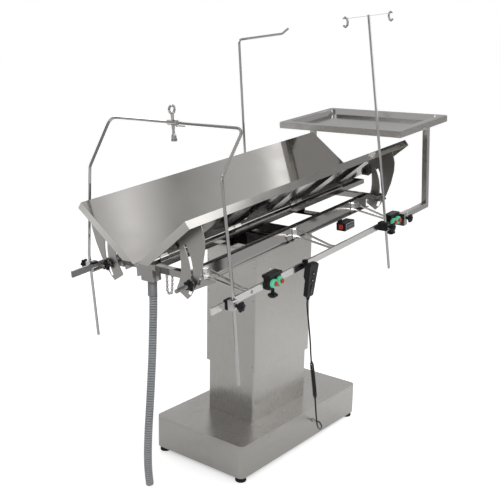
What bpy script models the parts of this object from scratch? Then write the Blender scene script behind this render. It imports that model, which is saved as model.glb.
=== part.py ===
"""V-top operating table on an electric lifting column, with rail accessories.

Metres, +Z up. The long axis of the table is X, with the drain at the -X end.
The origin is on the floor, under the middle of the whole table's box.
Two sets of coordinates are used: base coordinates, measured from the middle of
the base, and top coordinates, measured from the bottom of the V in the top,
which is pitched by TOP_PITCH. Every piece is drawn in one of the two.
"""
import math

import bmesh
import bpy
from mathutils import Matrix, Vector

# Fits
FIT = 0.0003
SLIDE = 0.0005
SHEET = 0.002

# Base
BASE_LENGTH = 0.840
BASE_WIDTH = 0.463
BASE_HEIGHT = 0.137
BASE_CORNER = 0.022
LID_LIP = 0.008
FOOT_RADIUS = 0.0225
FOOT_HEIGHT = 0.021
FOOT_INSET = 0.027
CHASSIS_PLATE = 0.008

# Column and its covers
COLUMN_X = -0.0256
LOWER_SLEEVE = (0.374, 0.237)
UPPER_SLEEVE = (0.390, 0.257)
SLEEVE_CORNER = 0.005
LOWER_SLEEVE_TOP = 0.535
UPPER_SLEEVE_BOTTOM = 0.376
HEAD_TOP = 0.852
SLEEVE_RIM = (0.896, 0.911)
COLUMN_OUTER = (0.190, 0.120)
COLUMN_INNER = (0.172, 0.102)
COLUMN_WALL = 0.004
COLUMN_FOOT = 0.024
COLUMN_OUTER_TOP = 0.470
COLUMN_INNER_BOTTOM = 0.290
ACTUATOR_RADIUS = 0.024
ROD_RADIUS = 0.012
ACTUATOR_BORE = ROD_RADIUS + 2 * SLIDE

# Top frame
TOP_PITCH = math.radians(6.147)
VEE_BOTTOM = (-0.0038, 0.0, 0.9946)
TILT_AXIS = (-0.0319, 0.0, -0.0769)
TILT_PIN_RADIUS = 0.010
BEAM_Y = 0.140
BEAM_ENDS = (-0.540, 0.586)
BEAM_TOP = -0.045
BEAM_DEPTH = 0.053
BEAM_SHEET = 0.003
BEAM_TOP_FLANGE = 0.025
BEAM_BOTTOM_FLANGE = 0.018
CROSSBAR = 0.025
CROSSBAR_NEAR = -0.645
CROSSBAR_FAR = 0.575
CROSSBAR_HALF = 0.190
GUSSET_X = (-0.6149, -0.4925)
GUSSET_DROP = (0.0170, 0.0265)
BRIDGE_X = (-0.290, 0.230)
BRIDGE_WIDTH = 0.040

# Panels of the V
PANEL_LENGTH = 1.500
PANEL_WIDTH = 0.3133
PANEL_TILT = math.radians(38.0)
PANEL_FLANGE = 0.030
PANEL_MITRE = 0.045
HINGE_Y = 0.0095
HINGE_Z = -0.0085
PANEL_EDGE_U = 0.0040
PANEL_EDGE_N = 0.0076
HINGE_ROD = 0.003
KNUCKLE_RADIUS = 0.0062
KNUCKLE_LENGTH = 0.040
HINGE_LEAF = 0.0015
SADDLES = (-0.640, -0.215, 0.215, 0.640)
SADDLE_THICK = 0.004
RIB_X = (-0.560, -0.290, -0.020, 0.250, 0.490)
RIB_WIDTH = 0.110
RIB_DEPTH = 0.014
RIB_SPAN = (0.070, 0.285)

# Sector plates and their clamps
SECTOR_NEAR = -0.690
SECTOR_FAR = 0.602
SECTOR_SHEET = 0.003
SLOT_RADIUS = 0.204
SLOT_WIDTH = 0.0135
CLAMP_ANGLE = math.radians(-12.7)
PANEL_DOWN = math.radians(38.0)
PANEL_UP = math.radians(10.0)
CLAMP_BOLT = 0.005
CLAMP_STACK = 0.022
CLAMP_WASHER = 0.002
CLAMP_TAIL = 0.0075
CLAMP_TAIL_END = -0.770
LEVER_HUB = 0.013
LEVER_LOBES = 5
LEVER_RADIUS = 0.0225

# Drain
TROUGH_HALF = 0.045
TROUGH_TOP = -0.011
TROUGH_BOTTOM = -0.032
TROUGH_ENDS = (-0.700, 0.735)
SUMP_END = -0.6585
SUMP_HALF = 0.030
SUMP_BOTTOM = -0.080
SPIGOT_X = -0.6775
SPIGOT_RADIUS = 0.0115
SPIGOT_BOTTOM = -0.112
HOSE_RADIUS = 0.0155

# Side rails
RAIL_Y = 0.353
RAIL_THICK = 0.008
RAIL_TALL = 0.025
RAIL_TOP = -0.0885
RAIL_ENDS = (-0.757, 0.600)
BRACKET_X = (-0.545, 0.010, 0.465)
STAY_RADIUS = 0.0045
STAY_SPREAD = 1.15
PAD_TALL = 0.019

# Rail clamps and their knobs
CLAMP_HALF = 0.0125
CLAMP_INNER = 0.341
CLAMP_OUTER = 0.386
CLAMP_MARGIN = 0.006
CLAMP_CORNER = 0.006
KNOB_RADIUS = 0.019
KNOB_LOBES = 6
KNOB_NECK = 0.016
KNOB_HEAD = 0.012
KNOB_STEM = 0.003
POLE_RADIUS = 0.0055

# Screen frame over the near end
SCREEN_X = {-1: -0.672, 1: -0.642}
SCREEN_LEG_Y = 0.375
SCREEN_COLLAR = -0.0585
SCREEN_SHOULDER = {-1: (-0.6464, -0.335, 0.3241), 1: (-0.6221, 0.335, 0.2915)}
SCREEN_TOP = (-0.505, 0.322, 0.460)
SCREEN_FOOT = -0.400
SCREEN_ROD = 0.0055
BAR_SCREW_GAP = 0.0025

# Hook pole on the back rail
HOOK_X = 0.350
HOOK_Y = 0.372
HOOK_FOOT = -0.180
HOOK_TOP = 0.672
HOOK_REACH = 0.330

# Infusion pole on the front rail
IV_X = 0.360
IV_Y = 0.372
IV_LEAN = math.radians(5.2)
IV_FOOT = -0.290
IV_TOP = 0.775
IV_SPREAD = 0.357
IV_LOOP = 0.018

# Rope cleats on the front rail
CLEAT_X = (-0.430, 0.440)
CLEAT_HALF = 0.036
CLEAT_OUT = 0.016
CLEAT_KNOB = (0.009, 0.028)
CAM_RADIUS = 0.0165
CAM_PITCH = 0.036
CAM_THICK = 0.016
CAM_AXLE = 0.003
CAM_CAP = 0.0075

# Instrument tray over the far end
TRAY_ENDS = (0.572, 1.035)
TRAY_HALF = 0.327
TRAY_TOP = 0.267
TRAY_FRAME = 0.030
TRAY_RIM = 0.034
TRAY_DEPTH = 0.024
TRAY_POST = 0.025
TRAY_POST_X = 0.842
TRAY_ARM_Z = (-0.143, -0.118)
TRAY_CLAMP_X = 0.515

# Controller under the front beam and the hand control on the rail
CONTROL_X = (0.335, 0.411)
CONTROL_Y = (-0.187, -0.140)
CONTROL_Z = (-0.147, -0.110)
PENDANT = (-0.205, -0.3725, 0.815)
PENDANT_SIZE = (0.056, 0.026, 0.138)
PENDANT_TAPER = (0.040, 0.019)
PENDANT_LEAN = math.radians(7.0)
KEY_RADIUS = 0.009
KEY_SEAT = 0.0035
KEY_TRAVEL = 0.0015
KEY_PLACES = {"pendant_up_key": 0.028, "pendant_down_key": 0.0}

# Materials: base colour, metallic, roughness
BRUSHED_STEEL = ((0.56, 0.55, 0.53), 1.0, 0.32)
POLISHED_STEEL = ((0.66, 0.65, 0.64), 1.0, 0.18)
PAINTED_STEEL = ((0.12, 0.12, 0.13), 0.6, 0.45)
BLACK_PLASTIC = ((0.018, 0.018, 0.020), 0.0, 0.45)
DARK_RUBBER = ((0.025, 0.025, 0.026), 0.0, 0.80)
GREY_HOSE = ((0.30, 0.31, 0.32), 0.0, 0.55)
MINT_PLASTIC = ((0.25, 0.78, 0.52), 0.0, 0.40)
RED_PLASTIC = ((0.70, 0.05, 0.05), 0.0, 0.40)

# Places that follow from the sizes above
FOOT_TOP = FOOT_HEIGHT
LID_Z = FOOT_HEIGHT + BASE_HEIGHT
SEAM_Z = LID_Z - LID_LIP
RAIL_BOTTOM = RAIL_TOP - RAIL_TALL
RAIL_MID = RAIL_TOP - RAIL_TALL / 2
RAIL_BACK = RAIL_Y - RAIL_THICK
PANEL_END = PANEL_LENGTH / 2
ORIGIN_X = 0.1149

TOP = (Matrix.Translation(VEE_BOTTOM) @ Matrix.Rotation(-TOP_PITCH, 4, "Y"))
BASE = Matrix.Identity(4)
MIRROR = Matrix.Diagonal((1.0, -1.0, 1.0, 1.0))
HAND = Matrix.Translation(PENDANT) @ Matrix.Rotation(PENDANT_LEAN, 4, "X")


def clear_scene():
    """Remove what a new Blender scene holds."""
    for thing in list(bpy.data.objects):
        bpy.data.objects.remove(thing, do_unlink=True)


def collection(name):
    """Make a collection in the scene."""
    made = bpy.data.collections.new(name)
    bpy.context.scene.collection.children.link(made)
    return made


# Shapes: each function below returns a mesh

def mesh_from(bm):
    """Close a bmesh into a mesh, with its faces pointing out."""
    bmesh.ops.recalc_face_normals(bm, faces=bm.faces)
    if bm.calc_volume(signed=True) < 0.0:
        bmesh.ops.reverse_faces(bm, faces=bm.faces)
    mesh = bpy.data.meshes.new("shape")
    bm.to_mesh(mesh)
    bm.free()
    return mesh


def evaluated(thing):
    """Take the mesh of an object with its modifiers, and remove the object."""
    graph = bpy.context.evaluated_depsgraph_get()
    mesh = bpy.data.meshes.new_from_object(thing.evaluated_get(graph))
    mesh.transform(thing.matrix_world)
    data = thing.data
    bpy.data.objects.remove(thing, do_unlink=True)
    if isinstance(data, bpy.types.Curve):
        bpy.data.curves.remove(data)
    bm = bmesh.new()
    bm.from_mesh(mesh)
    bpy.data.meshes.remove(mesh)
    bmesh.ops.remove_doubles(bm, verts=bm.verts, dist=0.00001)
    return mesh_from(bm)


def moved(mesh, matrix):
    """Copy a mesh through a matrix, turning its faces when that mirrors it."""
    bm = bmesh.new()
    bm.from_mesh(mesh)
    bm.transform(matrix)
    return mesh_from(bm)


def box(low, high):
    """Make a box between two corners."""
    bm = bmesh.new()
    size = Vector(high) - Vector(low)
    middle = (Vector(high) + Vector(low)) / 2
    place = Matrix.Translation(middle) @ Matrix.Diagonal((*size, 1.0))
    bmesh.ops.create_cube(bm, size=1.0, matrix=place)
    return mesh_from(bm)


def rod(start, end, radius, sides=16, end_radius=None):
    """Make a straight round bar or cone from start to end."""
    bm = bmesh.new()
    run = Vector(end) - Vector(start)
    turn = run.to_track_quat("Z", "Y").to_matrix().to_4x4()
    place = Matrix.Translation((Vector(start) + Vector(end)) / 2) @ turn
    tip = radius if end_radius is None else end_radius
    bmesh.ops.create_cone(bm, cap_ends=True, segments=sides, radius1=radius,
                          radius2=tip, depth=run.length, matrix=place)
    return mesh_from(bm)


def curve_object(outlines, flat, closed):
    """Make a curve from lists of points, as POLY splines."""
    data = bpy.data.curves.new("curve", "CURVE")
    data.dimensions = "2D" if flat else "3D"
    data.render_resolution_u = 0
    for points in outlines:
        spline = data.splines.new("POLY")
        spline.points.add(len(points) - 1)
        for slot, point in zip(spline.points, points):
            slot.co = (*point, 0.0, 1.0) if flat else (*point, 1.0)
        spline.use_cyclic_u = closed
    thing = bpy.data.objects.new("curve", data)
    bpy.context.scene.collection.objects.link(thing)
    return thing


def plate(outlines, thick, place=BASE):
    """Extrude a flat outline, with holes, to a plate centred on its plane."""
    thing = curve_object(outlines, True, True)
    thing.data.fill_mode = "BOTH"
    thing.data.extrude = thick / 2
    thing.matrix_world = place
    bpy.context.view_layer.update()
    return evaluated(thing)


def pipe(points, radius, resolution=2, closed=False, swell=None):
    """Sweep a round section along points, swollen at each by a factor."""
    thing = curve_object([points], False, closed)
    if swell is not None:
        for slot, factor in zip(thing.data.splines[0].points, swell):
            slot.radius = factor
    thing.data.bevel_depth = radius
    thing.data.bevel_resolution = resolution
    thing.data.use_fill_caps = not closed
    bpy.context.view_layer.update()
    return evaluated(thing)


def turned(profile, place=BASE, steps=20, closed=False):
    """Turn a profile of (radius, height) points, given from the top down."""
    bm = bmesh.new()
    corners = [bm.verts.new((r, 0.0, z)) for r, z in profile]
    for first, second in zip(corners, corners[1:]):
        bm.edges.new((first, second))
    if closed:
        bm.edges.new((corners[-1], corners[0]))
    mesh = bpy.data.meshes.new("profile")
    bm.to_mesh(mesh)
    bm.free()
    thing = bpy.data.objects.new("profile", mesh)
    bpy.context.scene.collection.objects.link(thing)
    screw = thing.modifiers.new("turn", "SCREW")
    screw.steps = steps
    screw.render_steps = steps
    screw.use_merge_vertices = True
    screw.merge_threshold = 0.00001
    thing.matrix_world = place
    bpy.context.view_layer.update()
    return evaluated(thing)


def cut(mesh, tools, operation="DIFFERENCE"):
    """Cut meshes from a mesh, or unite them with it, one after another."""
    thing = bpy.data.objects.new("work", mesh)
    bpy.context.scene.collection.objects.link(thing)
    helpers = []
    for tool in tools:
        helper = bpy.data.objects.new("tool", tool)
        helper.display_type = "WIRE"
        helper.hide_render = True
        CUTTERS.objects.link(helper)
        boolean = thing.modifiers.new("cut", "BOOLEAN")
        boolean.operation = operation
        boolean.solver = "EXACT"
        boolean.object = helper
        helpers.append(helper)
    bpy.context.view_layer.update()
    result = evaluated(thing)
    for helper in helpers:
        bpy.data.objects.remove(helper, do_unlink=True)
    return result


def united(meshes):
    """Weld meshes into one body."""
    return cut(meshes[0], meshes[1:], "UNION")


def shell(faces, thick, bend=0.0, segments=2):
    """Thicken an open sheet, given as faces of corner points, to the inside."""
    bm = bmesh.new()
    for corners in faces:
        bm.faces.new([bm.verts.new(corner) for corner in corners])
    bmesh.ops.remove_doubles(bm, verts=bm.verts, dist=0.00001)
    mesh = bpy.data.meshes.new("sheet")
    bm.to_mesh(mesh)
    bm.free()
    thing = bpy.data.objects.new("sheet", mesh)
    bpy.context.scene.collection.objects.link(thing)
    if bend:
        bevel = thing.modifiers.new("bend", "BEVEL")
        bevel.width = bend
        bevel.segments = segments
        bevel.limit_method = "ANGLE"
    solid = thing.modifiers.new("wall", "SOLIDIFY")
    solid.thickness = thick
    solid.offset = -1.0
    solid.use_even_offset = True
    bpy.context.view_layer.update()
    return evaluated(thing)


# Outlines

def arc(centre, radius, start, end, steps):
    """List points on an arc, angles in radians."""
    points = []
    for step in range(steps + 1):
        angle = start + (end - start) * step / steps
        points.append((centre[0] + radius * math.cos(angle),
                       centre[1] + radius * math.sin(angle)))
    return points


def rounded_rectangle(low, high, radius, steps=4):
    """List the outline of a rectangle with round corners."""
    quarter = math.pi / 2
    corners = ((high[0] - radius, high[1] - radius), (low[0] + radius, high[1] - radius),
               (low[0] + radius, low[1] + radius), (high[0] - radius, low[1] + radius))
    points = []
    for turn, corner in enumerate(corners):
        points += arc(corner, radius, turn * quarter, (turn + 1) * quarter, steps)
    return points


def centred_rectangle(size, radius, inset=0.0, steps=4):
    """List a round-cornered rectangle about the origin, drawn in by inset."""
    half = (size[0] / 2 - inset, size[1] / 2 - inset)
    return rounded_rectangle((-half[0], -half[1]), half, max(radius - inset, 0.001), steps)


def filleted(points, radius, steps=4):
    """Round the inner corners of a route of points in space."""
    out = [Vector(points[0])]
    for before, corner, after in zip(points, points[1:], points[2:]):
        corner = Vector(corner)
        back = (Vector(before) - corner).normalized()
        ahead = (Vector(after) - corner).normalized()
        half = back.angle(ahead) / 2
        reach = radius / math.tan(half)
        centre = corner + (back + ahead).normalized() * radius / math.sin(half)
        first = corner + back * reach - centre
        last = corner + ahead * reach - centre
        for step in range(steps + 1):
            out.append(centre + first.normalized().slerp(last.normalized(), step / steps) * radius)
    out.append(Vector(points[-1]))
    return out


def smooth(points, per_span):
    """Read a smooth curve through the points of a cord's route."""
    ends = [Vector(p) for p in points]
    ends = [ends[0] * 2 - ends[1], *ends, ends[-1] * 2 - ends[-2]]
    out = []
    for a, b, c, d in zip(ends, ends[1:], ends[2:], ends[3:]):
        for step in range(per_span):
            t = step / per_span
            out.append(0.5 * (2 * b + (c - a) * t + (2 * a - 5 * b + 4 * c - d) * t ** 2
                              + (3 * b - a - 3 * c + d) * t ** 3))
    out.append(ends[-2])
    return out


def along_x(x):
    """Map an outline's (x, y) to (Y, Z) in the plane at x."""
    return Matrix(((0, 0, 1, x), (1, 0, 0, 0), (0, 1, 0, 0), (0, 0, 0, 1)))


def along_y(y):
    """Map an outline's (x, y) to (X, Z) in the plane at y."""
    return Matrix(((1, 0, 0, 0), (0, 0, -1, y), (0, 1, 0, 0), (0, 0, 0, 1)))


def up_to(z):
    """Map an outline's (x, y) to (X, Y) in the plane at z."""
    return Matrix.Translation((0.0, 0.0, z))


def bar_x(outlines, start, end):
    """Extrude an outline in (Y, Z) from start to end along X."""
    return plate(outlines, end - start, along_x((start + end) / 2))


def bar_y(outlines, start, end):
    """Extrude an outline in (X, Z) from start to end along Y."""
    return plate(outlines, end - start, along_y((start + end) / 2))


def bar_z(outlines, bottom, top):
    """Extrude an outline in (X, Y) from bottom to top."""
    return plate(outlines, top - bottom, up_to((bottom + top) / 2))


# Objects

def joint(name, frame, place, parent):
    """Put an empty on a joint's axis, in the axes of the frame."""
    empty = bpy.data.objects.new(name, None)
    empty.empty_display_size = 0.05
    bpy.context.scene.collection.objects.link(empty)
    if parent is not None:
        empty.parent = parent
        bpy.context.view_layer.update()
        empty.matrix_parent_inverse = parent.matrix_world.inverted()
    empty.matrix_world = ORIGIN @ frame @ Matrix.Translation(place)
    bpy.context.view_layer.update()
    return empty


def piece(name, mesh, finish, frame, parent):
    """Make the named object of a sub-part, carried by its joint's empty."""
    colour, metallic, roughness = finish
    thing = bpy.data.objects.new(name, mesh)
    mesh.name = name
    PARTS.objects.link(thing)
    material = bpy.data.materials.new(name)
    material.use_nodes = True
    shader = material.node_tree.nodes["Principled BSDF"]
    shader.inputs["Base Color"].default_value = (*colour, 1.0)
    shader.inputs["Metallic"].default_value = metallic
    shader.inputs["Roughness"].default_value = roughness
    mesh.materials.clear()
    mesh.materials.append(material)
    mesh.shade_smooth()
    mesh.set_sharp_from_angle(angle=math.radians(35))
    local = parent.matrix_world.inverted() @ ORIGIN @ frame
    mesh.transform(local)
    thing.parent = parent
    return thing


# Base and column

def base_pieces(base):
    """Build the chassis, its covers and feet."""
    size = (BASE_LENGTH, BASE_WIDTH)
    inner = centred_rectangle(size, BASE_CORNER, SHEET + FIT)
    plate_top = FOOT_TOP + CHASSIS_PLATE
    column = Matrix.Translation((COLUMN_X, 0.0, 0.0))
    floor = bar_z([inner], FOOT_TOP, plate_top)
    block_half = (COLUMN_OUTER[0] / 2 + COLUMN_FOOT, COLUMN_OUTER[1] / 2 + COLUMN_FOOT)
    block = box((COLUMN_X - block_half[0], -block_half[1], FOOT_TOP + CHASSIS_PLATE / 2),
                (COLUMN_X + block_half[0], block_half[1], plate_top + COLUMN_FOOT / 2))
    rails = []
    rail_y = BASE_WIDTH / 2 - 2 * FOOT_INSET
    rail_half = BASE_LENGTH / 2 - FOOT_INSET
    for side in (-1, 1):
        rails.append(box((-rail_half, side * rail_y - CHASSIS_PLATE, FOOT_TOP + CHASSIS_PLATE / 2),
                         (rail_half, side * rail_y + CHASSIS_PLATE, SEAM_Z - CHASSIS_PLATE)))
    piece("base_chassis", united([floor, block, *rails]), PAINTED_STEEL, BASE, base)

    outer = centred_rectangle(size, BASE_CORNER)
    wall = centred_rectangle(size, BASE_CORNER, SHEET)
    skirt = united([bar_z([outer, wall], FOOT_TOP, SEAM_Z), gland_mesh()])
    piece("base_skirt", skirt, BRUSHED_STEEL, BASE, base)

    opening = [(x + COLUMN_X, y) for x, y in
               centred_rectangle(LOWER_SLEEVE, SLEEVE_CORNER, 4 * SHEET)]
    lip = bar_z([outer, wall], SEAM_Z + FIT, LID_Z - SHEET / 2)
    lid = bar_z([outer, opening], LID_Z - SHEET, LID_Z)
    piece("base_lid", united([lid, lip]), BRUSHED_STEEL, BASE, base)

    rings = [(0.0, 0.0), (0.95, 0.0), (1.0, 0.12), (1.0, 0.42), (0.88, 0.50),
             (0.98, 0.58), (0.98, 0.88), (0.90, 1.0), (0.0, 1.0)]
    profile = [(r * FOOT_RADIUS, h * (FOOT_HEIGHT - FIT)) for r, h in reversed(rings)]
    for end, side_x in (("near", -1), ("far", 1)):
        for side, side_y in (("front", -1), ("back", 1)):
            spot = Matrix.Translation((side_x * (BASE_LENGTH / 2 - FOOT_INSET),
                                       side_y * (BASE_WIDTH / 2 - FOOT_INSET), 0.0))
            piece(f"foot_{end}_{side}", turned(profile, spot, 12), DARK_RUBBER, BASE, base)

    outer = centred_rectangle(LOWER_SLEEVE, SLEEVE_CORNER)
    inner = centred_rectangle(LOWER_SLEEVE, SLEEVE_CORNER, SHEET)
    sleeve = moved(bar_z([outer, inner], LID_Z + FIT, LOWER_SLEEVE_TOP), column)
    piece("lower_sleeve", sleeve, BRUSHED_STEEL, BASE, base)

    foot = plate_top + COLUMN_FOOT / 2 + FIT
    outer = centred_rectangle(COLUMN_OUTER, SLEEVE_CORNER)
    inner = centred_rectangle(COLUMN_OUTER, SLEEVE_CORNER, COLUMN_WALL)
    tube = moved(bar_z([outer, inner], foot, COLUMN_OUTER_TOP), column)
    piece("column_outer_tube", tube, PAINTED_STEEL, BASE, base)

    bore_floor = foot + COLUMN_FOOT
    profile = [(0.0, bore_floor), (ACTUATOR_BORE, bore_floor),
               (ACTUATOR_BORE, COLUMN_OUTER_TOP), (ACTUATOR_RADIUS, COLUMN_OUTER_TOP),
               (ACTUATOR_RADIUS, bore_floor + COLUMN_FOOT),
               (1.5 * ACTUATOR_RADIUS, bore_floor + COLUMN_FOOT / 2),
               (1.5 * ACTUATOR_RADIUS, foot), (0.0, foot)]
    piece("lift_actuator", turned(profile, column, 16), PAINTED_STEEL, BASE, base)


def gland_mesh():
    """Turn the cable gland that is fixed in the long front face of the base."""
    x, y, z = GLAND
    face = -BASE_WIDTH / 2 + SHEET / 2
    place = Matrix.Translation((x, face, z)) @ Matrix.Rotation(math.pi / 2, 4, "X")
    nose = face - y
    profile = [(0.0, nose), (0.0036, nose), (0.0060, 0.5 * nose), (0.0085, 0.45 * nose),
               (0.0095, 0.1 * nose), (0.0095, 0.0), (0.0, 0.0)]
    return turned(profile, place, 12)


def lift_pieces(lift):
    """Build what the column carries up: cover, inner tube, rod and head bracket."""
    column = Matrix.Translation((COLUMN_X, 0.0, 0.0))
    outer = centred_rectangle(UPPER_SLEEVE, SLEEVE_CORNER)
    inner = centred_rectangle(UPPER_SLEEVE, SLEEVE_CORNER, SHEET)
    low_rim, high_rim = SLEEVE_RIM
    length, width = UPPER_SLEEVE
    slope = math.atan2(high_rim - low_rim, length)
    waste = box((-length, -width, 0.0), (length, width, high_rim - low_rim + length))
    rim = Matrix.Translation((0.0, 0.0, (low_rim + high_rim) / 2))
    waste = moved(waste, rim @ Matrix.Rotation(-slope, 4, "Y"))
    wall = cut(bar_z([outer, inner], UPPER_SLEEVE_BOTTOM, high_rim + SLEEVE_CORNER), [waste])
    piece("upper_sleeve", moved(wall, column), BRUSHED_STEEL, BASE, lift)
    top = HEAD_TOP

    outer = centred_rectangle(COLUMN_INNER, SLEEVE_CORNER)
    inner = centred_rectangle(COLUMN_INNER, SLEEVE_CORNER, COLUMN_WALL)
    head = top - 2 * COLUMN_WALL
    tube = moved(bar_z([outer, inner], COLUMN_INNER_BOTTOM, head - FIT), column)
    piece("column_inner_tube", tube, PAINTED_STEEL, BASE, lift)

    profile = [(0.0, head - FIT), (ROD_RADIUS, head - FIT),
               (ROD_RADIUS, COLUMN_INNER_BOTTOM), (0.0, COLUMN_INNER_BOTTOM)]
    piece("actuator_rod", turned(profile, column, 12), POLISHED_STEEL, BASE, lift)

    pivot = TOP @ Vector(TILT_AXIS)
    cap = [(x + COLUMN_X, y) for x, y in
           centred_rectangle(UPPER_SLEEVE, SLEEVE_CORNER, SHEET + FIT)]
    deck = bar_z([cap], head, top)
    half = 2.2 * TILT_PIN_RADIUS
    lug = arc((pivot.x, pivot.z), half, 0.0, math.pi, 10)
    lug += [(pivot.x - 2 * half, head + COLUMN_WALL), (pivot.x + 2 * half, head + COLUMN_WALL)]
    hole = arc((pivot.x, pivot.z), TILT_PIN_RADIUS + FIT, 0.0, 2 * math.pi, 16)[:-1]
    lug_y = BEAM_Y - BEAM_TOP_FLANGE - 2 * COLUMN_WALL
    lugs = [bar_y([lug, hole], side * lug_y - COLUMN_WALL, side * lug_y + COLUMN_WALL)
            for side in (-1, 1)]
    piece("head_bracket", united([deck, *lugs]), PAINTED_STEEL, BASE, lift)


# Tilting frame

def frame_piece(frame):
    """Weld the beams, end crossbars, gussets, bridges and clamp bolts."""
    bottom = BEAM_TOP - BEAM_DEPTH
    beam = [(BEAM_Y - BEAM_TOP_FLANGE, BEAM_TOP), (BEAM_Y - BEAM_TOP_FLANGE, BEAM_TOP - BEAM_SHEET),
            (BEAM_Y, BEAM_TOP - BEAM_SHEET), (BEAM_Y, bottom),
            (BEAM_Y + BEAM_BOTTOM_FLANGE, bottom),
            (BEAM_Y + BEAM_BOTTOM_FLANGE, bottom + BEAM_SHEET),
            (BEAM_Y + BEAM_SHEET, bottom + BEAM_SHEET), (BEAM_Y + BEAM_SHEET, BEAM_TOP)]
    side = bar_x([beam], *BEAM_ENDS)
    gusset_end = CROSSBAR_NEAR - CROSSBAR
    near, far = GUSSET_X
    gusset = bar_y([[(far, BEAM_TOP), (far, bottom - GUSSET_DROP[1]),
                     (near, bottom - GUSSET_DROP[0]), (near, BEAM_TOP - CROSSBAR),
                     (gusset_end, BEAM_TOP - CROSSBAR),
                     (gusset_end, BEAM_TOP + CROSSBAR / 2 - SHEET),
                     (CROSSBAR_NEAR + CROSSBAR, BEAM_TOP + CROSSBAR / 2 - SHEET)]],
                   BEAM_Y + FIT, BEAM_Y + BEAM_SHEET - FIT)
    sides = [side, gusset, moved(side, MIRROR), moved(gusset, MIRROR)]

    middle = BEAM_TOP
    ends = []
    for x in (CROSSBAR_NEAR, CROSSBAR_FAR):
        ends.append(box((x - CROSSBAR / 2, -CROSSBAR_HALF, middle - CROSSBAR / 2),
                        (x + CROSSBAR / 2, CROSSBAR_HALF, middle + CROSSBAR / 2)))
    for x in BRIDGE_X:
        low = middle - 3 * BEAM_SHEET
        ends.append(box((x - BRIDGE_WIDTH / 2, -BEAM_Y - FIT, low),
                        (x + BRIDGE_WIDTH / 2, BEAM_Y + FIT, middle - BEAM_SHEET / 2)))
        ends.append(box((x - BEAM_SHEET, -TROUGH_HALF, middle - BEAM_SHEET),
                        (x + BEAM_SHEET, TROUGH_HALF, TROUGH_BOTTOM - FIT)))
    bolts = []
    for x, face in ((CROSSBAR_NEAR, SECTOR_NEAR), (CROSSBAR_FAR, SECTOR_FAR)):
        out = 1 if face > x else -1
        for side_y in (-1, 1):
            y, z = clamp_bolt(side_y)
            ear_x = sorted((x + out * CROSSBAR / 2 - out * BEAM_SHEET,
                            x + out * (CROSSBAR / 2 + BEAM_SHEET)))
            ear = rounded_rectangle((min(y, side_y * (CROSSBAR_HALF - CROSSBAR)) - CROSSBAR / 2,
                                     z - CROSSBAR / 2),
                                    (max(y, side_y * (CROSSBAR_HALF - CROSSBAR)) + CROSSBAR / 2,
                                     z + CROSSBAR / 2), CROSSBAR / 3, 3)
            bolts.append(bar_x([ear], *ear_x))
            tip = face + out * (SECTOR_SHEET / 2 + CLAMP_STACK + FIT)
            bolts.append(rod((x + out * CROSSBAR / 2 - out * FIT, y, z), (tip, y, z),
                             CLAMP_BOLT, 12))
            if out < 0:
                bolts.append(rod((tip, y, z), (CLAMP_TAIL_END, y, z), CLAMP_TAIL, 16))
    table = united([*sides, *ends, *bolts, *tilt_pin()])
    piece("table_frame", table, BRUSHED_STEEL, TOP, frame)


def clamp_bolt(side):
    """Find where a clamp bolt passes through its sector plate's slot."""
    return (side * (HINGE_Y + SLOT_RADIUS * math.cos(CLAMP_ANGLE)),
            HINGE_Z + SLOT_RADIUS * math.sin(CLAMP_ANGLE))


def tilt_pin():
    """Make the tilt pin across both beams, with a collar outside each."""
    x, _, z = TILT_AXIS
    face = BEAM_Y + BEAM_SHEET - FIT
    shaft = [rod((x, -face - BEAM_SHEET, z), (x, face + BEAM_SHEET, z), TILT_PIN_RADIUS)]
    for side in (-1, 1):
        shaft.append(rod((x, side * face, z), (x, side * (face + 2 * BEAM_SHEET), z),
                         1.5 * TILT_PIN_RADIUS))
    return shaft


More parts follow.
